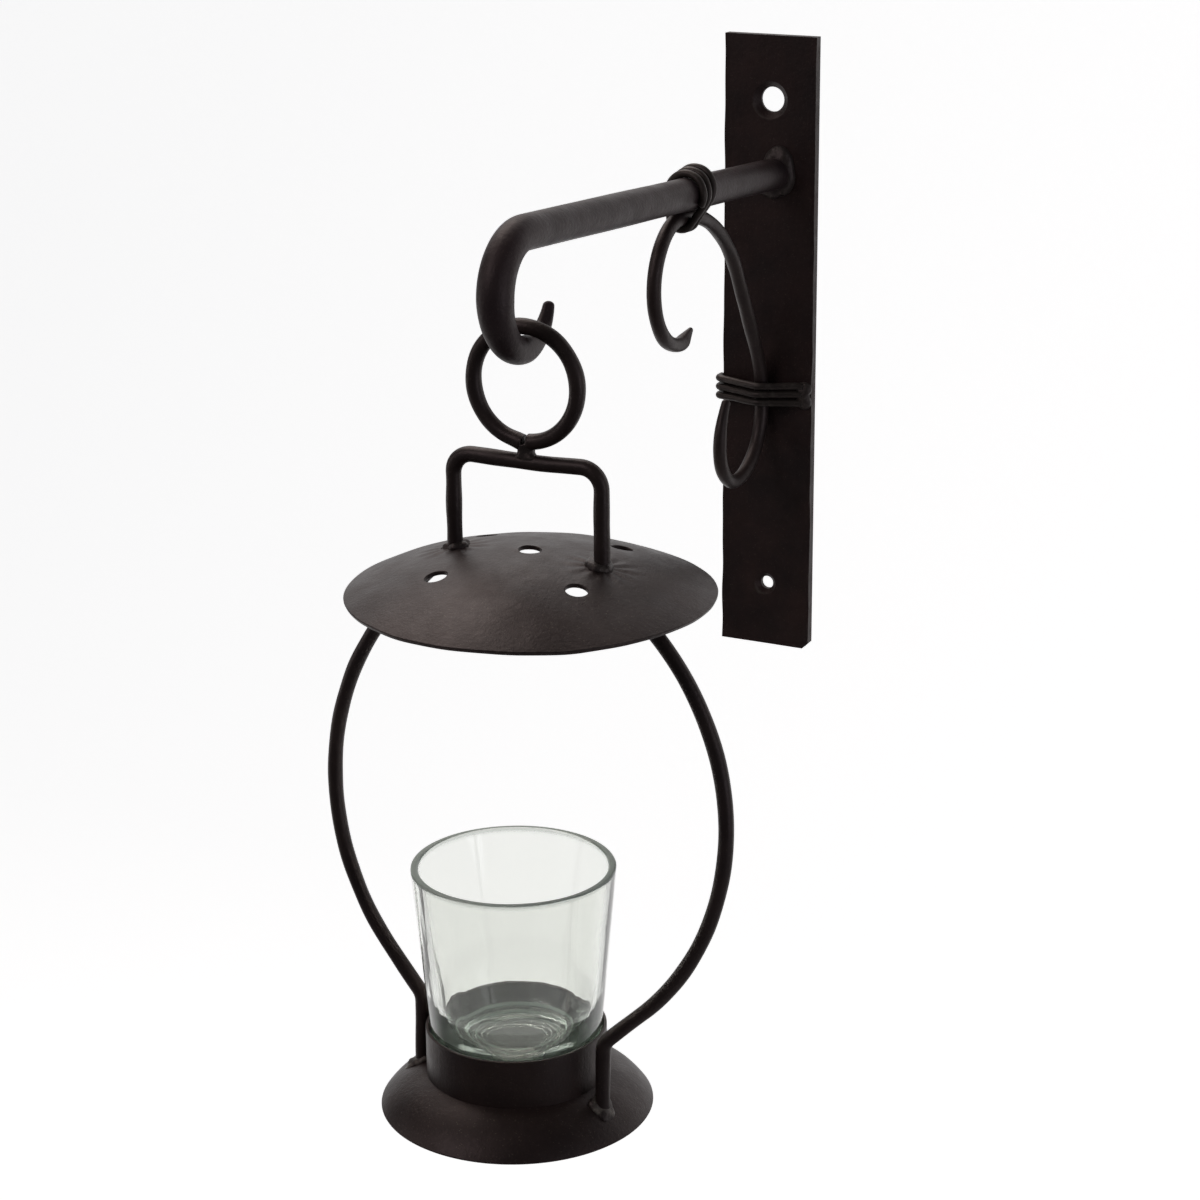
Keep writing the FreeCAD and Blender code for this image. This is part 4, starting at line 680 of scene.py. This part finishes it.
# The crown's vent has a burr standing up along one side.
lip = np.hypot(x, y) - VENT_RADIUS
dents = dents + BURR_RISE * np.exp(-lip / BURR_WIDTH) * np.clip(np.cos(np.arctan2(y, x) - BURR_WAY), 0, 1)
for side in (-1, 1):
    off_x, off_y = x - (ARM_X + side * BAIL_HALF_WIDTH - CANOPY_X), y
    away = np.hypot(off_x, off_y)
    folds = PUCKER_DEPTH * np.sin(PUCKERS * np.arctan2(off_y, off_x) + side)
    dents = dents + folds * np.exp(-((away - PUCKER_REACH) / PUCKER_WIDTH) ** 2)
scale = (CANOPY_BALL - CANOPY_SHEET) / CANOPY_BALL
outer = np.stack([CANOPY_X + x, LANTERN_Y + y, canopy_surface(x, y) + dents], -1)
inner = np.stack([CANOPY_X + x * scale, LANTERN_Y + y * scale,
                  canopy_surface(x * scale, y * scale, CANOPY_SHEET) + dents], -1)
points, faces = slab([outer, inner], keep)
rim = np.hypot(points[:, 0] - CANOPY_X, points[:, 1] - LANTERN_Y) / CANOPY_RADIUS
sheet_paint = lacquer("sheet_lacquer", ((0.014, 0.0088, 0.0082), (0.026, 0.0165, 0.0145)), (0.38, 0.5),
                      0.6, 0.3, 1.1)
canopy = dress("domed_canopy", points, faces, points, 0.45 * (rim > 0.985), sheet_paint, "lantern", "canopy")
soften(canopy, SHEET_ROUNDING)


# The bail, the same thin rod bent square like a handle, the ring's weld on its bar and its feet welded
# to the canopy with lumpy beads.

BAIL_CORNER, BAIL_DROP = 6.0, 35.9
ROD_SUNK, ROD_CORE = 0.5, 1.7  # a rod's end inside its sheet, and the heart of a weld round a rod
LEVEL = ((1, 0, 0), (0, 1, 0))

along, flat, _ = bent_line((-BAIL_HALF_WIDTH, -BAIL_DROP), 90, (
    (BAIL_DROP - BAIL_CORNER, 0), (BAIL_CORNER, -90), (2 * (BAIL_HALF_WIDTH - BAIL_CORNER), 0),
    (BAIL_CORNER, -90), (BAIL_DROP - BAIL_CORNER, 0)))
foot_heights = [float(canopy_surface(ARM_X + side * BAIL_HALF_WIDTH - CANOPY_X, 0)) for side in (-1, 1)]
first = foot_heights[0] - ROD_SUNK - (BAIL_HEIGHT - BAIL_DROP)
last = along[-1] - (foot_heights[1] - ROD_SUNK - (BAIL_HEIGHT - BAIL_DROP))
stops = stations(first, last, 0.4, 0.6)
flat = along_line(stops, along, flat)
line = np.stack([ARM_X + flat[:, 0], np.full(len(flat), LANTERN_Y), BAIL_HEIGHT + flat[:, 1]], 1)
line[:, 2] += 0.25 * unevenness(line, 40, 44) * (flat[:, 1] > -12)
dress_rod("square_bail", line, (0, 1, 0), nosed(stops, ROD_RADIUS, 0.4), 32, (0.03, 11, 45), 0.2, rod_paint,
          "lantern", "bail")

for side, word, seed in ((-1, "left", 47), (1, "right", 48)):
    at_x = ARM_X + side * BAIL_HALF_WIDTH

    def on_canopy(x, y):
        return canopy_surface(x + at_x - CANOPY_X, y)

    points = bead((at_x, LANTERN_Y, 0), LEVEL, (0, 0, 1), ROD_CORE, (3.8, 3.8), 1.7, on_canopy, seed, 0.4,
                  smear=(3.4, 0.35 + 0.3 * side))
    dress_bead(f"{word}_bail_weld", points, 0.5, weld_paint, "lantern", f"{word}_leg_weld")


# The base, a second disc of sheet dished like a saucer turned over: a nearly flat crown that the cup
# stands on, and a shoulder that turns down to the rim.

BASE_X, BASE_HEIGHT, BASE_RADIUS, BASE_RISE, BASE_CROWN, BASE_SHEET = -3.6, -183.468, 38.6, 13.5, 90.0, 1.2
BAND_INNER, BAND_OUTER, BAND_TOP, BAND_FOOT = 24.548, 25.448, 23.8, 10.087


def base_surface(reach):
    """Height of the base above its rim at a distance from its middle: a ball's cap as far as the cup
    band, then a smaller arc that carries on smoothly and ends at the rim."""
    inward = np.array([-BAND_INNER, -math.sqrt(BASE_CROWN ** 2 - BAND_INNER ** 2)]) / BASE_CROWN
    across, drop = BASE_RADIUS - BAND_INNER, -BAND_FOOT
    bend = (across ** 2 + drop ** 2) / (2 * (across * inward[0] + drop * inward[1]))
    middle = np.array([BAND_INNER, BAND_FOOT]) + bend * inward
    crown = BASE_RISE - BASE_CROWN + np.sqrt(BASE_CROWN ** 2 - np.minimum(reach, BAND_INNER) ** 2)
    beyond = np.maximum(reach, BAND_INNER) - middle[0]
    shoulder = middle[1] + np.sqrt(np.clip(bend ** 2 - beyond ** 2, 0, None))
    return np.where(reach < BAND_INNER, crown, shoulder)


rows, columns = 60, 145
reach = np.linspace(0, BASE_RADIUS, rows)
turn = np.linspace(0, 2 * math.pi, columns)
x, y = reach[:, None] * np.cos(turn), reach[:, None] * np.sin(turn)
flat_points = np.stack([x, y, 0 * x], -1)
dents = 0.15 * unevenness(flat_points, 30, 51) + 0.05 * unevenness(flat_points, 11, 52)
dents = dents * (1 - (np.hypot(x, y) / BASE_RADIUS) ** 10)
high = base_surface(np.hypot(x, y))
slope = np.gradient(base_surface(reach), reach)[:, None]
lean = np.sqrt(1 + slope ** 2)
outer = np.stack([BASE_X + x, LANTERN_Y + y, BASE_HEIGHT + high + dents], -1)
shift = BASE_SHEET * np.stack([-slope / lean * np.cos(turn), -slope / lean * np.sin(turn),
                               1 / lean + 0 * turn], -1)
points, faces = slab([outer, outer - shift], np.ones((rows - 1, columns - 1), bool))
rim = np.hypot(points[:, 0] - BASE_X, points[:, 1] - LANTERN_Y) / BASE_RADIUS
base = dress("dished_base", points, faces, points, 0.4 * (rim > 0.985), sheet_paint, "lantern", "base_disc")
soften(base, SHEET_ROUNDING)


# The cup band, a narrow strip rolled into a hoop that stands on the base. It is a little out of round,
# its top edge is rubbed, and the glass stands in it.


def revolved(profile, centre, around, wave):
    """A turned form: a section of distance and height, carried round an upright axis, its distance
    waving a little with the turn."""
    turn = np.linspace(0, 2 * math.pi, around, endpoint=False)
    reach = profile[:, 0, None] + wave(profile, turn)
    points = np.stack(np.broadcast_arrays(
        reach * np.cos(turn), reach * np.sin(turn), profile[:, 1, None]), -1)
    return points + np.array(centre)


def rounded_section(corners, fillets, steps=6):
    """A closed section with its corners rounded: at each corner an even curve that touches both sides,
    the corner's place blended with the two points a fillet's length before and after it."""
    corners = np.array(corners, float)
    share = np.linspace(0, 1, steps)[:, None]
    parts = []
    for here, before, after, size in zip(corners, np.roll(corners, 1, 0), np.roll(corners, -1, 0), fillets):
        enter = here + (before - here) * min(0.5, size / max(np.linalg.norm(before - here), 1e-9))
        leave = here + (after - here) * min(0.5, size / max(np.linalg.norm(after - here), 1e-9))
        parts.append((1 - share) ** 2 * enter + 2 * share * (1 - share) * here + share ** 2 * leave)
    return np.concatenate(parts)


def hoop_wave(profile, turn):
    """The hoop is a little out of round."""
    return 0.08 * np.sin(3 * turn + 1) + 0.05 * np.sin(7 * turn)


section = rounded_section([(BAND_INNER, BAND_FOOT - 0.1), (BAND_OUTER, BAND_FOOT - 0.5),
                           (BAND_OUTER, BAND_TOP), (BAND_INNER, BAND_TOP)], (0.1, 0.1, 0.3, 0.3))
points = revolved(section, (BASE_X, LANTERN_Y, BASE_HEIGHT), 144, hoop_wave)
points[..., 2] += 0.12 * unevenness(points, 30, 61) * (points[..., 2] > BASE_HEIGHT + 15)
rim = np.clip((points[..., 2] - (BASE_HEIGHT + BAND_TOP - 0.4)) / 0.4, 0, 1)
band_paint = lacquer("band_lacquer", ((0.014, 0.009, 0.009), (0.028, 0.018, 0.0155)), (0.34, 0.48),
                     0.3, 1.2, 0.8)
dress("cup_hoop", points.reshape(-1, 3), rings(len(section), 144, closed=True), points, 0.5 * rim, band_paint,
      "lantern", "cup_band")


# The side bars. Each foot stands on the base beside the hoop; the rod leans out, bows round the cage
# and runs in under the canopy, where it is welded. The two are bent alike but not the same.

SIDE_BARS = (  # word, foot's reach, bends as length or radius and turn, seed, smear of the foot's weld
    ("left", -33.198, ((21.9, 0), (5.5, 39.9), (13.675, 0), (77.539, -85.1), (24.949, 0)), 71, (3.6, 0.8)),
    ("right", 24.364, ((18.9, 0), (5.5, -46.1), (14.494, 0), (75.369, 93.8), (22.720, 0)), 73, (5.2, 0.35)),
)
BAR_LEAD, BAR_LEAN = 6.8, math.radians(2.565)
for word, foot, bends, seed, smear in SIDE_BARS:
    along, flat, _ = bent_line((foot, BAND_FOOT / 2), 90, bends)
    forward = flat[:, 1] * math.sin(BAR_LEAN) - BAR_LEAD
    height = flat[:, 1] * math.cos(BAR_LEAN)
    from_base = height - base_surface(np.hypot(flat[:, 0] + ARM_X - BASE_X, forward))
    x = flat[:, 0] + ARM_X - CANOPY_X
    under_canopy = canopy_surface(np.clip(x, -60, 60), 0 * x, CANOPY_SHEET) - BASE_HEIGHT - height
    first = along[np.argmax(from_base > -ROD_SUNK)]
    last = along[len(along) - 1 - np.argmax(under_canopy[::-1] > -0.4)]
    stops = stations(first, last, 0.5, 0.8)
    bar_flat = along_line(stops, along, flat)
    line = np.stack([ARM_X + bar_flat[:, 0], LANTERN_Y - BAR_LEAD + bar_flat[:, 1] * math.sin(BAR_LEAN),
                     BASE_HEIGHT + bar_flat[:, 1] * math.cos(BAR_LEAN)], 1)
    dress_rod(f"{word}_bowed_bar", line, (0, 1, 0), nosed(stops, ROD_RADIUS, 0.5), 32, (0.03, 14, seed), 0.2,
              rod_paint, "lantern", f"{word}_side_bar", thinned=0.03)

    (at_x, at_y, _), (top_x, top_y, _) = line[0], line[-1]

    def on_base(x, y):
        return base_surface(np.hypot(x + at_x - BASE_X, y + at_y - LANTERN_Y)) + BASE_HEIGHT

    def in_canopy(x, y):
        return -canopy_surface(x + top_x - CANOPY_X, y + top_y - LANTERN_Y, CANOPY_SHEET)

    points = bead((at_x, at_y, 0), LEVEL, (0, 0, 1), ROD_CORE, (3.3, 3.3), 1.5, on_base, seed + 1, 0.3,
                  smear=smear)
    dress_bead(f"{word}_foot_bead", points, 0.5, chipped_paint, "lantern", f"{word}_side_bar_foot_weld")
    points = bead((top_x, top_y, 0), LEVEL, (0, 0, -1), ROD_CORE, (3.9, 3.6), 1.6, in_canopy, seed + 5, 0.35)
    dress_bead(f"{word}_top_bead", points, 0.4, weld_paint, "lantern", f"{word}_side_bar_top_weld")


# The glass cup, pressed in a mould: a tapered wall, a fire-polished lip, a thick bottom hollowed
# underneath, and faint upright flow lines. It stands loose in the hoop and lifts out.

GLASS_STAND = 12.704  # the foot above the base's rim
GLASS_FOOT = BASE_HEIGHT + GLASS_STAND
GLASS_HEIGHT, GLASS_RIM, GLASS_BASE, GLASS_WALL, GLASS_FLOOR = 58.9, 28.5, 23.2, 2.1, 7.3
GLASS_PUNT, GLASS_PUNT_DEPTH = 14.0, 1.6
GLASS_DIMPLE, GLASS_DIMPLE_DEPTH = 14.6, 0.9
# From the lip down the wall grows by the swell, then slopes in from a height above the floor to the well.
GLASS_SWELL, GLASS_THICKENS, GLASS_WELL = 0.9, 9.0, 17.6
MOULD_RINGS_FROM, MOULD_RING_STEP, MOULD_RING_DEPTH = 8, 1.9, 0.26
# Rings on the floor where the milky layer shows: partly haze, partly painted light caught in the foot.
HAZE_AND_LIGHT_RINGS = ((GLASS_DIMPLE + 0.4, 0.45), (GLASS_WELL, 0.5), (12.3, 0.35))  # reach, thickness


def glass_section():
    """Half of the cup's section, from the middle underneath, out, up, over the lip and back in."""
    taper = (GLASS_RIM - GLASS_BASE) / GLASS_HEIGHT
    inside = GLASS_BASE + (GLASS_FLOOR + GLASS_THICKENS) * taper - GLASS_WALL - GLASS_SWELL
    corners = [(0, GLASS_PUNT_DEPTH), (GLASS_PUNT, GLASS_PUNT_DEPTH), (GLASS_PUNT + 0.6, 0), (GLASS_BASE, 0),
               (GLASS_RIM, GLASS_HEIGHT), (GLASS_RIM - GLASS_WALL, GLASS_HEIGHT),
               (inside, GLASS_FLOOR + GLASS_THICKENS), (GLASS_WELL, GLASS_FLOOR),
               (GLASS_DIMPLE + 0.8, GLASS_FLOOR), (GLASS_DIMPLE, GLASS_FLOOR - GLASS_DIMPLE_DEPTH),
               (0, GLASS_FLOOR - GLASS_DIMPLE_DEPTH)]
    fillets = [0, 0.7, 0.6, 2.0, 0.8, 0.8, 6.0, 3.0, 0.6, 0.6, 0]
    section = rounded_section(corners, fillets, 10)
    far = np.concatenate([[0], np.cumsum(np.linalg.norm(np.diff(section, axis=0), axis=1))])
    distinct = np.concatenate([[True], np.diff(far) > 1e-6])
    section, far = section[distinct], far[distinct]
    section = along_line(np.unique(np.concatenate([far, np.arange(0, far[-1], 0.45)])), far, section)
    # Rings left by the mould on the underside of the foot.
    out = section[:, 0] - MOULD_RINGS_FROM
    under = (section[:, 1] < GLASS_PUNT_DEPTH + 0.1) & (out > 0) & (section[:, 0] < GLASS_PUNT - 0.5)
    section[:, 1] += under * MOULD_RING_DEPTH * np.sin(2 * math.pi * out / MOULD_RING_STEP)
    return section


def flow_lines(profile, turn):
    """Ripples round the wall: two sines of the turn, none near the axis."""
    ripple = 0.06 * np.sin(9 * turn + 0.4) + 0.03 * np.sin(17 * turn + 2)
    outer = GLASS_BASE + (GLASS_RIM - GLASS_BASE) * profile[:, 1, None] / GLASS_HEIGHT
    inside = np.clip((outer - profile[:, 0, None]) / GLASS_WALL, 0, 1)
    return ripple * (inside - 0.5) * np.clip(profile[:, 0, None] / GLASS_BASE - 0.6, 0, 0.4) / 0.4


section = glass_section()
points = revolved(section, (BASE_X, LANTERN_Y, GLASS_FOOT), 160, flow_lines)
glass = bpy.data.materials.new("pressed_glass")
glass.use_nodes = True
tree = glass.node_tree
shader = tree.nodes["Principled BSDF"]
shader.inputs["Base Color"].default_value = (0.92, 0.925, 0.9, 1)
shader.inputs["Transmission Weight"].default_value = 0.97
shader.inputs["IOR"].default_value = 1.5
place = tree.nodes.new("ShaderNodeTexCoord").outputs["Object"]
smear = add_node(tree, "ShaderNodeTexNoise", Vector=place, Scale=70, Detail=4)
rough = add_node(tree, "ShaderNodeMapRange", Value=smear.outputs["Fac"], From_Min=0.45, From_Max=0.75,
                 To_Max=0.06)
tree.links.new(rough.outputs[0], shader.inputs["Roughness"])
upright = add_node(tree, "ShaderNodeMapping", Vector=place, Scale=(1, 1, 0.15))
drawn = add_node(tree, "ShaderNodeTexNoise", Vector=upright.outputs[0], Scale=130, Detail=2)
ripple = add_node(tree, "ShaderNodeBump", Strength=0.3, Distance=0.0004, Height=drawn.outputs["Fac"])
tree.links.new(ripple.outputs[0], shader.inputs["Normal"])
tint = add_node(tree, "ShaderNodeVolumeAbsorption", Color=(0.72, 0.9, 0.76, 1), Density=18)
tree.links.new(tint.outputs[0], tree.nodes["Material Output"].inputs["Volume"])
edge = add_node(tree, "ShaderNodeAttribute")
edge.attribute_name = "wear_and_painted_light"
# A pale diffuse layer mixed in by the wear attribute: partly haze, partly painted light at the lip and foot.
milky_haze_and_light = add_node(tree, "ShaderNodeBsdfDiffuse", Color=(0.72, 0.84, 0.74, 1))
pale = add_node(tree, "ShaderNodeMixShader", Fac=edge.outputs["Fac"], _1=shader.outputs[0],
                _2=milky_haze_and_light.outputs[0])
tree.links.new(pale.outputs[0], tree.nodes["Material Output"].inputs["Surface"])
# The glass's wear attribute carries a milky layer at the lip, round the foot and in rings on the floor:
# partly haze, partly painted light that the lip and foot catch.
above = points[..., 2] - GLASS_FOOT
reach = section[:, :1]
haze_and_painted_light = 0.4 * np.clip((above - GLASS_HEIGHT + 1.6) / 1.2, 0, 1) + 0.15 * np.clip(1 - above / 3, 0, 1)
for ring, thick in HAZE_AND_LIGHT_RINGS:
    haze_and_painted_light = haze_and_painted_light + 0.5 * np.exp(-((reach - ring) / thick) ** 2) * (abs(above - GLASS_FLOOR) < 1.2)
dress("votive_glass", points.reshape(-1, 3), rings(len(section), 160), points, haze_and_painted_light, glass,
      "glass_cup", "glass_cup", slot="glass", sharp=60)

low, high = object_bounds()
